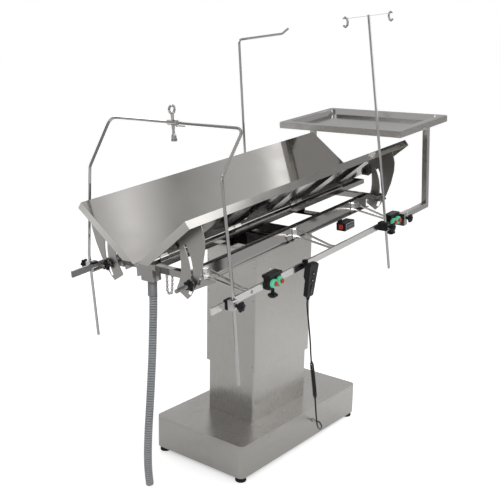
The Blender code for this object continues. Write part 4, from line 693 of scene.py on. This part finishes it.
LEVER_PROFILE = ((LEVER_BORE, 0.0), (0.0125, 0.0), (0.0130, 0.0008), (0.0130, 0.0034, 0.02),
                 (0.0190, 0.0052, 0.15), (0.0222, 0.0070, 0.19), (0.0225, 0.0100, 0.19),
                 (0.0225, 0.0132, 0.19), (0.0216, 0.0156, 0.19), (0.0188, 0.0172, 0.16),
                 (0.0140, 0.0178, 0.05), (0.0112, 0.0180), (0.0104, LEVER_HEIGHT - 0.0006),
                 (0.0096, LEVER_HEIGHT), (LEVER_BORE, LEVER_HEIGHT))
WASHER_SIDES = 40
WASHER_PROFILE = ((LEVER_BORE, 0.0), (0.0122, 0.0), (0.0126, 0.0003), (0.0126, 0.0016),
                  (0.0122, 0.0019), (LEVER_BORE, 0.0019))
# A button-head screw: its rise by its radius, rows of radius and rise, and its socket
SCREW_SIDES = 24
SCREW_RISE = 0.55
SCREW_HEAD = ((1.0, 0.0), (0.97, 0.35), (0.80, 0.78), (0.60, 1.0), (0.50, 1.0))
SOCKET_HALF = 0.40
SOCKET_FLOOR = 0.3
# Screws on the upper sleeve: beside the corners of its ends, and on its long faces
END_SCREW_HEIGHTS = (0.4015, 0.546, 0.680, 0.814)
END_SCREW_INSET = 0.010
END_SCREW_RADIUS = 0.0040
LONG_SCREW_INSETS = (0.092, 0.050)
LONG_SCREW_HEIGHT = 0.800
LONG_SCREW_RADIUS = 0.0045
STAY_BOLT_HALF = 0.0095
STAY_BOLT_RADIUS = 0.0042
PLUG_SIDES = 28
PLUG_PROFILE = ((0.0026, LAID), (0.0062, LAID), (0.0062, 0.0003), (0.0056, 0.0004),
                (0.0026, 0.0003))
CAM_SIDES = 96
CAM_FLUTES = 24
CAM_RISE = 0.004
CAM_BORE = CAM_AXLE + GAP
CAM_RIM = CAM_RADIUS - 0.0002
CAM_PROFILE = ((CAM_BORE, SLIDE), (CAM_RIM - 0.0022, SLIDE), (CAM_RIM - 0.0004, 0.0018, 0.016),
               (CAM_RIM, 0.0030, 0.020), (CAM_RIM, CAM_THICK - 0.0030, 0.020),
               (CAM_RIM - 0.0004, CAM_THICK - 0.0018, 0.016),
               (CAM_RIM - 0.0022, CAM_THICK - 0.0005), (CAM_RIM - 0.0062, CAM_THICK - 0.0005),
               (CAM_RIM - 0.0068, CAM_THICK - 0.0016), (CAM_BORE, CAM_THICK - 0.0016))
CAP_SIDES = 32
CAP_STAND = 0.0042
CAP_PROFILE = ((0.0080, -0.0035), (0.0084, -0.0028), (0.0084, 0.0012), (0.0079, 0.0022),
               (0.0064, 0.0030), (0.0030, 0.0034), (0.0008, 0.0035))
# The chain: where it hangs, how far it drops and turns, and its links' wire radius,
# half the straight part and the radius of the bends
CHAIN_Y = (-0.046, -0.074)
CHAIN_DROP = 0.074
CHAIN_TURN = 0.0115
CHAIN_STEPS = 12
CHAIN_LEAN = (1.0, 0.4, 0.0)
LINK_WIRE = 0.0016
LINK_HALF = 0.0020
LINK_BEND = 0.0040
# Neighbouring links overlap by somewhat more than their two wires
LINK_OVERLAP = 2.4 * LINK_WIRE
LINK_PITCH = 2 * LINK_HALF + 2 * LINK_BEND - LINK_OVERLAP
LINK_POINTS = 16
LINK_SIDES = 8
HOOK_POINTS = 12
HOOK_DROP = 0.0030
HOOK_HALF_Y = 0.0040
HOOK_HALF_Z = 0.0045
# The hand control's key rings, inlay and arrow marks
KEY_RING_SIDES = 40
KEY_RING_PROFILE = ((0.0098, 0.0), (0.0122, 0.0), (0.0120, 0.0007), (0.0104, 0.0010),
                    (0.0098, 0.0006))
INLAY_Z = -0.0355
INLAY_SIZE = (0.0150, 0.0400)
INLAY_CORNER = 0.0074
INLAY_HEIGHTS = (-0.0004, 0.0009)
MARK_CORNERS = ((-0.0042, -0.0024), (0.0, 0.0036), (0.0042, -0.0024))
MARK_HEIGHTS = (-0.0002, 0.0003)
# The controller's plates: how much smaller than the window, and from which to which height
WINDOW_INSET = (0.009, 0.007)
WINDOW_CORNER = 0.0016
WINDOW_PLATES = (("controller_bezel", BEZEL, 0.0, 0.0002, 0.0010),
                 ("controller_border", GLOSS_BLACK, 0.0058, 0.0006, 0.0013),
                 ("controller_display", DISPLAY, 0.0150, 0.0009, 0.0016))
# The tray frame's T-handled screws, and rows of place and radius along their handle
T_SCREW_X = 0.806
T_SCREW_Z = 0.2400
T_SCREW_SIDES = 20
T_SCREW_PROFILE = ((0.0050, -0.0004), (0.0050, 0.0018), (0.0028, 0.0022), (0.0026, 0.0110),
                   (0.0034, 0.0118), (0.0034, 0.0150), (0.0012, 0.0156))
T_BAR_SIDES = 12
T_BAR_HEIGHT = 0.0134
T_BAR = ((-0.012, 0.0012), (-0.0112, 0.0022), (0.0, 0.0020), (0.0112, 0.0022),
         (0.012, 0.0012))


def outward(side):
    """Turn +Z to point along Y on one side."""
    return Matrix.Rotation(-side * math.pi / 2, 4, "X")


def add_knobs():
    """Replace each plain star knob by a moulded one on a bright washer."""
    rail = {"screen_knob_front": (SCREEN_X["front"], -1),
            "screen_knob_back": (SCREEN_X["back"], 1),
            "hook_knob": (HOOK_X, 1), "iv_knob": (IV_X, -1),
            "tray_knob_front": (TRAY_CLAMP_X, -1), "tray_knob_back": (TRAY_CLAMP_X, 1)}
    spots = {name: (Matrix.Translation((x, side * CLAMP_OUTER, RAIL_MID)) @ outward(side),
                    KNOB_NECK) for name, (x, side) in rail.items()}
    for end, x in CLEAT_X.items():
        place = Matrix.Translation((x + CLEAT_KNOB_SHIFT, RAIL_THICK / 2 - RAIL_Y,
                                    RAIL_BOTTOM - CLEAT_KNOB_DROP))
        spots[f"cleat_{end}_knob"] = (place @ Matrix.Rotation(math.pi, 4, "X"),
                                      CLEAT_KNOB_NECK)
    for name, (place, neck) in spots.items():
        head = [(radius, neck + height, lobe) for radius, height, lobe in KNOB_HEAD]
        bm = bmesh.new()
        lathe(bm, [KNOB_FOOT, *head], TOP @ place, KNOB_SIDES, KNOB_LOBES)
        knob = new_object(name + "_moulded", finished(bm, sharp=50.0), GLOSS_BLACK, name)
        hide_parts(name)
        bm = bmesh.new()
        lathe(bm, STUD_PROFILE, TOP @ place, STUD_SIDES)
        stud = new_object(name + "_stud", finished(bm, sharp=40.0), SCREW_STEEL, name)


def add_levers():
    """Replace the four clamp levers by five-lobed moulded ones with bright washers."""
    for end, face in SECTOR.items():
        out = 1 if end == "far" else -1
        turned = Matrix.Rotation(out * math.pi / 2, 4, "Y")
        start = face + out * (SECTOR_SHEET / 2 + CLAMP_WASHER + GAP)
        low = face + out * (SECTOR_SHEET / 2 + LAID)
        for side_name, side in (("front", -1), ("back", 1)):
            name = f"clamp_lever_{end}_{side_name}"
            place = TOP @ Matrix.Translation((start, side * CLAMP_Y, CLAMP_Z)) @ turned
            bm = bmesh.new()
            lathe(bm, LEVER_PROFILE, place, LEVER_SIDES, LEVER_LOBES, bored=True)
            body = f"lever_{end}_{side_name}"
            lever = new_object(name + "_moulded", finished(bm, sharp=50.0), GLOSS_BLACK, body)
            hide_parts(name)
            place = TOP @ Matrix.Translation((low, side * CLAMP_Y, CLAMP_Z)) @ turned
            bm = bmesh.new()
            lathe(bm, WASHER_PROFILE, place, WASHER_SIDES, bored=True)
            washer = new_object(f"{name}_washer", finished(bm, sharp=40.0), SCREW_STEEL,
                                "table_top")


def screw_head(bm, place, radius):
    """Press a button-head screw with a hexagon socket, facing +Z."""
    rise = radius * SCREW_RISE
    rings = [ring_points(SCREW_SIDES, 0, radius * r, rise * h) for r, h in SCREW_HEAD]
    hexagon = []
    for angle in angles(SCREW_SIDES):
        local = (angle % (math.pi / 3)) - math.pi / 6
        r = radius * SOCKET_HALF / math.cos(local)
        hexagon.append((r * math.cos(angle), r * math.sin(angle)))
    rings.append([(x, y, rise) for x, y in hexagon])
    rings.append([(x, y, rise * SOCKET_FLOOR) for x, y in hexagon])
    loft(bm, [[place @ Vector(p) for p in ring] for ring in rings])


def add_sleeve_screws():
    """Put the button-head screws on the upper sleeve's faces."""
    half_x = UPPER_SLEEVE[0] / 2
    half_y = UPPER_SLEEVE[1] / 2
    near, far = LONG_SCREW_INSETS
    bm = bmesh.new()
    for side in (-1, 1):
        for edge in (-1, 1):
            for z in END_SCREW_HEIGHTS:
                spot = (COLUMN_X + side * half_x, edge * (half_y - END_SCREW_INSET), z)
                screw_head(bm, BASE @ facing(spot, (side, 0, 0)), END_SCREW_RADIUS)
        for x in (near - half_x, half_x - far):
            spot = (COLUMN_X + x, side * half_y, LONG_SCREW_HEIGHT)
            screw_head(bm, BASE @ facing(spot, (0, side, 0)), LONG_SCREW_RADIUS)
    screws = new_object("sleeve_screws", finished(bm, sharp=35.0), SCREW_STEEL, "lift")


def add_frame_fasteners():
    """Bolt the stay feet to the beams and the rails to their stays."""
    bm = bmesh.new()
    low = BEAM_TOP - BEAM_DEPTH + 2 * BEAM_SHEET
    face = BEAM_Y + 2 * BEAM_SHEET + GAP
    for side in (-1, 1):
        for x in BRACKET_X:
            for dx in (-STAY_BOLT_HALF, STAY_BOLT_HALF):
                spot = (x + dx, side * face, (BEAM_TOP + low) / 2)
                screw_head(bm, TOP @ facing(spot, (0, side, 0)), STAY_BOLT_RADIUS)
    bolts = new_object("stay_bolts", finished(bm, sharp=35.0), SCREW_STEEL, "table_top")
    bm = bmesh.new()
    for side in (-1, 1):
        for x in (BRACKET_X[0], BRACKET_X[-1]):
            place = TOP @ facing((x, side * RAIL_Y, RAIL_MID), (0, side, 0))
            lathe(bm, PLUG_PROFILE, place, PLUG_SIDES, bored=True)
    plugs = new_object("rail_bolts", finished(bm, sharp=35.0), DARK_STEEL, "table_top")


def add_cams():
    """Replace the cleats' cams by moulded ones with a fluted rim, and cap their axles."""
    for end, x in CLEAT_X.items():
        caps = bmesh.new()
        for letter, side in (("a", -1), ("b", 1)):
            spot = (x + side * CAM_PITCH / 2, -CLEAT_OUTER, RAIL_MID + CAM_RISE)
            place = TOP @ Matrix.Translation(spot) @ outward(-1)
            bm = bmesh.new()
            lathe(bm, CAM_PROFILE, place, CAM_SIDES, CAM_FLUTES, bored=True)
            name = f"cleat_{end}_cam_{letter}"
            cam = new_object(name + "_moulded", finished(bm, sharp=50.0), MINT, name)
            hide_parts(name)
            cap = place @ Matrix.Translation((0.0, 0.0, CAM_THICK + CAP_STAND))
            lathe(caps, CAP_PROFILE, cap, CAP_SIDES)
        reds = new_object(f"cleat_{end}_caps", finished(caps, sharp=50.0), RED, f"cleat_{end}")


def add_chain():
    """Hang the short link chain in a loop from the near crossbar, beside the sump."""
    starts = [TOP @ Vector((CROSSBAR_X, y, CROSSBAR_LOW)) for y in CHAIN_Y]
    low = min(point.z for point in starts) - CHAIN_DROP + CHAIN_TURN
    middle = (starts[0] + starts[1]) / 2
    line = [starts[0]]
    for k in range(CHAIN_STEPS + 1):
        angle = math.pi * k / CHAIN_STEPS
        line.append(Vector((middle.x, middle.y + CHAIN_TURN * math.cos(angle),
                            low - CHAIN_TURN * math.sin(angle))))
    line.append(starts[1])
    spots = even(line, LINK_PITCH)
    bm = bmesh.new()
    for index, (a, b) in enumerate(zip(spots, spots[1:])):
        along = (b - a).normalized()
        side = along.cross(Vector(CHAIN_LEAN)).normalized()
        across = side if index % 2 else along.cross(side)
        centre = (a + b) / 2
        link = []
        for k in range(LINK_POINTS):
            angle = 2 * math.pi * (k + 0.5) / LINK_POINTS
            reach = LINK_HALF if math.cos(angle) > 0 else -LINK_HALF
            link.append(centre + along * (reach + LINK_BEND * math.cos(angle))
                        + across * LINK_BEND * math.sin(angle))
        link.append(link[0])
        tube(bm, link, [LINK_WIRE] * len(link), LINK_SIDES, caps=False)
    for start in starts:
        hook = [start + Vector((0.0, HOOK_HALF_Y * math.sin(a),
                                HOOK_HALF_Z * math.cos(a) - HOOK_DROP))
                for a in (*angles(HOOK_POINTS), 2 * math.pi)]
        tube(bm, hook, [LINK_WIRE] * len(hook), LINK_SIDES, caps=False)
    chain = new_object("sump_chain", finished(bm, sharp=60.0), SCREW_STEEL, "table_top")


def plaque(bm, place, size, radius, low, high, edge=0.0004, steps=6):
    """Raise a rounded plaque from low to high along +Z, with a softened edge."""
    def outline(inset, height):
        half_x = size[0] / 2 - inset
        half_y = size[1] / 2 - inset
        r = radius - inset
        ring = []
        for corner, (sx, sy) in enumerate(((1, 1), (-1, 1), (-1, -1), (1, -1))):
            for k in range(steps + 1):
                angle = math.pi / 2 * (corner + k / steps)
                ring.append(place @ Vector((sx * (half_x - r) + r * math.cos(angle),
                                            sy * (half_y - r) + r * math.sin(angle), height)))
        return ring
    loft(bm, [outline(0.0, low), outline(0.0, high - edge), outline(edge, high)])


def add_pendant_face():
    """Dress the hand control: key rings, a glossy inlay and arrow marks."""
    face = HAND @ Matrix.Translation((0.0, PENDANT_FACE, 0.0)) @ outward(-1)
    bm = bmesh.new()
    for z in KEY_PLACES.values():
        lathe(bm, KEY_RING_PROFILE, face @ Matrix.Translation((0.0, z, 0.0)), KEY_RING_SIDES,
              bored=True)
    plaque(bm, face @ Matrix.Translation((0.0, INLAY_Z, 0.0)), INLAY_SIZE, INLAY_CORNER,
           *INLAY_HEIGHTS)
    inlay = new_object("pendant_inlay", finished(bm, sharp=50.0), GLOSS_BLACK, "table_top")
    for name, z in KEY_PLACES.items():
        up = 1 if name == "pendant_up_key" else -1
        top = HAND @ Matrix.Translation((0.0, KEY_FACE, z)) @ outward(-1)
        bm = bmesh.new()
        loft(bm, [[top @ Vector((x, y * up, h)) for x, y in MARK_CORNERS]
                  for h in MARK_HEIGHTS])
        mark = new_object(name + "_mark", finished(bm, sharp=30.0), PALE_KEY, name)


def add_display():
    """Fill the controller's window with its bezel, dark border and display."""
    middle = ((CONTROL_X[0] + CONTROL_X[1]) / 2, CONTROL_Y[0], (CONTROL_Z[0] + CONTROL_Z[1]) / 2)
    face = TOP @ Matrix.Translation(middle) @ outward(-1)
    size = (CONTROL_X[1] - CONTROL_X[0] - WINDOW_INSET[0],
            CONTROL_Z[1] - CONTROL_Z[0] - WINDOW_INSET[1])
    for name, material, shrink, low, high in WINDOW_PLATES:
        bm = bmesh.new()
        plaque(bm, face, (size[0] - shrink, size[1] - shrink), WINDOW_CORNER, low, high,
               edge=0.0003, steps=3)
        plate = new_object(name, finished(bm, sharp=40.0), material, "table_top")


def add_tray_screws():
    """Fit the T-handled screws that hold the tray frame on its posts."""
    bm = bmesh.new()
    for side in (-1, 1):
        place = TOP @ facing((T_SCREW_X, side * TRAY_HALF, T_SCREW_Z), (0, side, 0))
        lathe(bm, T_SCREW_PROFILE, place, T_SCREW_SIDES)
        tube(bm, [place @ Vector((x, 0.0, T_BAR_HEIGHT)) for x, radius in T_BAR],
             [radius for x, radius in T_BAR], T_BAR_SIDES)
    screws = new_object("tray_t_screws", finished(bm, sharp=45.0), SCREW_STEEL, "tray")


# Studio

WHITE = (1.0, 1.0, 1.0)
FLOOR_HALF = 90.0
FLOOR_GREY = (0.86, 0.86, 0.86)
FLOOR_ROUGHNESS = 0.9
FLOOR_GLOW = 0.52
# Painted pools of light on the floor, for painted reflections in the front faces and the near
# flanges:
# centre, radius where each starts to fade and where it ends, and level
PAINTED_FLOOR_POOLS = (((0.9, -0.7, 0.0), 0.3, 1.7, 0.26), ((-2.6, 2.6, 0.0), 0.2, 1.2, 0.45))
# Brightness of the studio walls by compass angle in degrees, and by height
WALLS = ((-180.0, 1.30), (-150.0, 0.75), (-60.0, 0.60), (-20.0, 0.55), (-12.0, 1.0),
         (60.0, 1.0), (140.0, 0.70), (160.0, 0.75), (180.0, 1.30))
SKY = ((0.0, 0.50), (0.08, 0.40), (0.26, 0.42), (0.36, 0.80), (0.45, 0.80), (0.56, 0.55),
       (0.635, 0.22), (0.672, 0.10), (0.683, 0.5), (0.690, 1.7), (0.702, 1.7), (0.710, 0.62),
       (0.735, 0.70), (0.757, 0.56), (0.785, 0.40), (0.806, 0.85), (0.823, 1.25), (0.838, 0.70),
       (0.88, 0.60), (1.0, 0.80))
# The bright card that the near end of the front flange reflects: compass angles,
# heights, softness of both, and brightness
CARD = ((-64.0, -20.0), (0.614, 0.74), (4.0, 0.013), 2.2)
# Square soft lamps: name, place, target, size and power
LAMPS = (("key", (-3.2, -2.6, 3.2), (0.0, 0.0, 0.8), 1.6, 50.0),
         ("fill", (2.8, -3.4, 2.4), (0.0, 0.0, 0.7), 2.0, 22.0),
         ("back", (0.8, 3.2, 3.4), (0.0, 0.0, 0.8), 1.8, 30.0))


def painted_floor_pool(tree, coordinates, centre, start, end, level):
    """Give the level of a soft round pool of painted light on the floor."""
    reach = tree.nodes.new("ShaderNodeVectorMath")
    reach.operation = "DISTANCE"
    tree.links.new(coordinates, reach.inputs[0])
    reach.inputs[1].default_value = centre
    return remap(tree, reach.outputs["Value"], level, 0.0, start, end)


def add_floor():
    """Lay the studio floor, which shows white and keeps the soft shadow, with pools of painted
    light.
    """
    bm = bmesh.new()
    bmesh.ops.create_grid(bm, x_segments=1, y_segments=1, size=FLOOR_HALF)
    mesh = bpy.data.meshes.new("floor")
    bm.to_mesh(mesh)
    bm.free()
    material, tree, shader, coordinates = shader_tree("floor", FLOOR_GREY, 0.0, FLOOR_ROUGHNESS)
    shader.inputs["Specular IOR Level"].default_value = 0.0
    rays = tree.nodes.new("ShaderNodeLightPath").outputs
    seen = computed(tree, "MAXIMUM", rays["Is Camera Ray"], rays["Is Glossy Ray"])
    clear = computed(tree, "MAXIMUM", seen, rays["Is Transmission Ray"])
    # Painted pools of light, which glow only to camera, glossy and transmission rays
    pools = [painted_floor_pool(tree, coordinates, *pool) for pool in PAINTED_FLOOR_POOLS]
    painted_glow = computed(tree, "MULTIPLY", clear, computed(tree, "ADD", *pools))
    glow = computed(tree, "MULTIPLY_ADD", rays["Is Camera Ray"], FLOOR_GLOW, painted_glow)
    shader.inputs["Emission Color"].default_value = (*WHITE, 1.0)
    tree.links.new(glow, shader.inputs["Emission Strength"])
    new_object("floor", mesh, material)


def compass(degrees):
    """Give the place of a compass angle along the studio walls, from zero to one."""
    return (degrees + 180.0) / 360.0


def between(tree, value, limits, soft):
    """Give one inside two limits of a value, and fade to zero beyond them."""
    low, high = limits
    return computed(tree, "MULTIPLY",
                    remap(tree, value, 0.0, 1.0, low - soft, low + soft),
                    remap(tree, value, 1.0, 0.0, high - soft, high + soft))


def grey_ramp(tree, value, stops):
    """Read greys along a value."""
    ramp = tree.nodes.new("ShaderNodeValToRGB")
    tree.links.new(value, ramp.inputs["Fac"])
    for index, (place, grey) in enumerate(stops):
        stop = (ramp.color_ramp.elements[index] if index < 2
                else ramp.color_ramp.elements.new(place))
        stop.position = place
        stop.color = (grey, grey, grey, 1.0)
    return ramp.outputs["Color"]


def add_world():
    """Surround the table with a studio: white to the camera, with brighter and
    dimmer walls all round for the steel to reflect."""
    world = bpy.data.worlds.new("studio")
    bpy.context.scene.world = world
    world.use_nodes = True
    tree = world.node_tree
    background = tree.nodes["Background"]
    coordinates = tree.nodes.new("ShaderNodeTexCoord")
    split = tree.nodes.new("ShaderNodeSeparateXYZ")
    tree.links.new(coordinates.outputs["Generated"], split.inputs["Vector"])
    azimuth = computed(tree, "ARCTAN2", split.outputs["Y"], split.outputs["X"])
    turned = remap(tree, azimuth, 0.0, 1.0, -math.pi, math.pi)
    walls = grey_ramp(tree, turned, [(compass(degrees), grey) for degrees, grey in WALLS])
    sky = grey_ramp(tree, split.outputs["Z"], SKY)
    studio = blended(tree, 1.0, walls, sky, "MULTIPLY")
    directions, heights, soft, bright = CARD
    card = computed(tree, "MULTIPLY",
                    between(tree, turned, [compass(angle) for angle in directions],
                            soft[0] / 360.0),
                    between(tree, split.outputs["Z"], heights, soft[1]))
    lit = blended(tree, card, studio, (bright, bright, bright))
    rays = tree.nodes.new("ShaderNodeLightPath").outputs
    tree.links.new(blended(tree, rays["Is Camera Ray"], lit, WHITE), background.inputs["Color"])
    background.inputs["Strength"].default_value = 1.0


def add_lamp(name, place, target, size, power):
    """Hang a square soft lamp that looks at a target."""
    data = bpy.data.lights.new(name, "AREA")
    data.shape = "SQUARE"
    data.size = size
    data.energy = power
    lamp = bpy.data.objects.new(name, data)
    lamp.location = place
    lamp.rotation_mode = "QUATERNION"
    lamp.rotation_quaternion = (Vector(target) - Vector(place)).to_track_quat("-Z", "Y")
    bpy.context.scene.collection.objects.link(lamp)


# Everything, in the order of building

bpy.context.scene.view_settings.view_transform = "Standard"
add_camera()
add_hose()
add_lead()
dress_nodes()
add_knobs()
add_levers()
add_cams()
add_sleeve_screws()
add_frame_fasteners()
add_chain()
add_pendant_face()
add_display()
add_tray_screws()
add_floor()
add_world()
for lamp in LAMPS:
    add_lamp(*lamp)
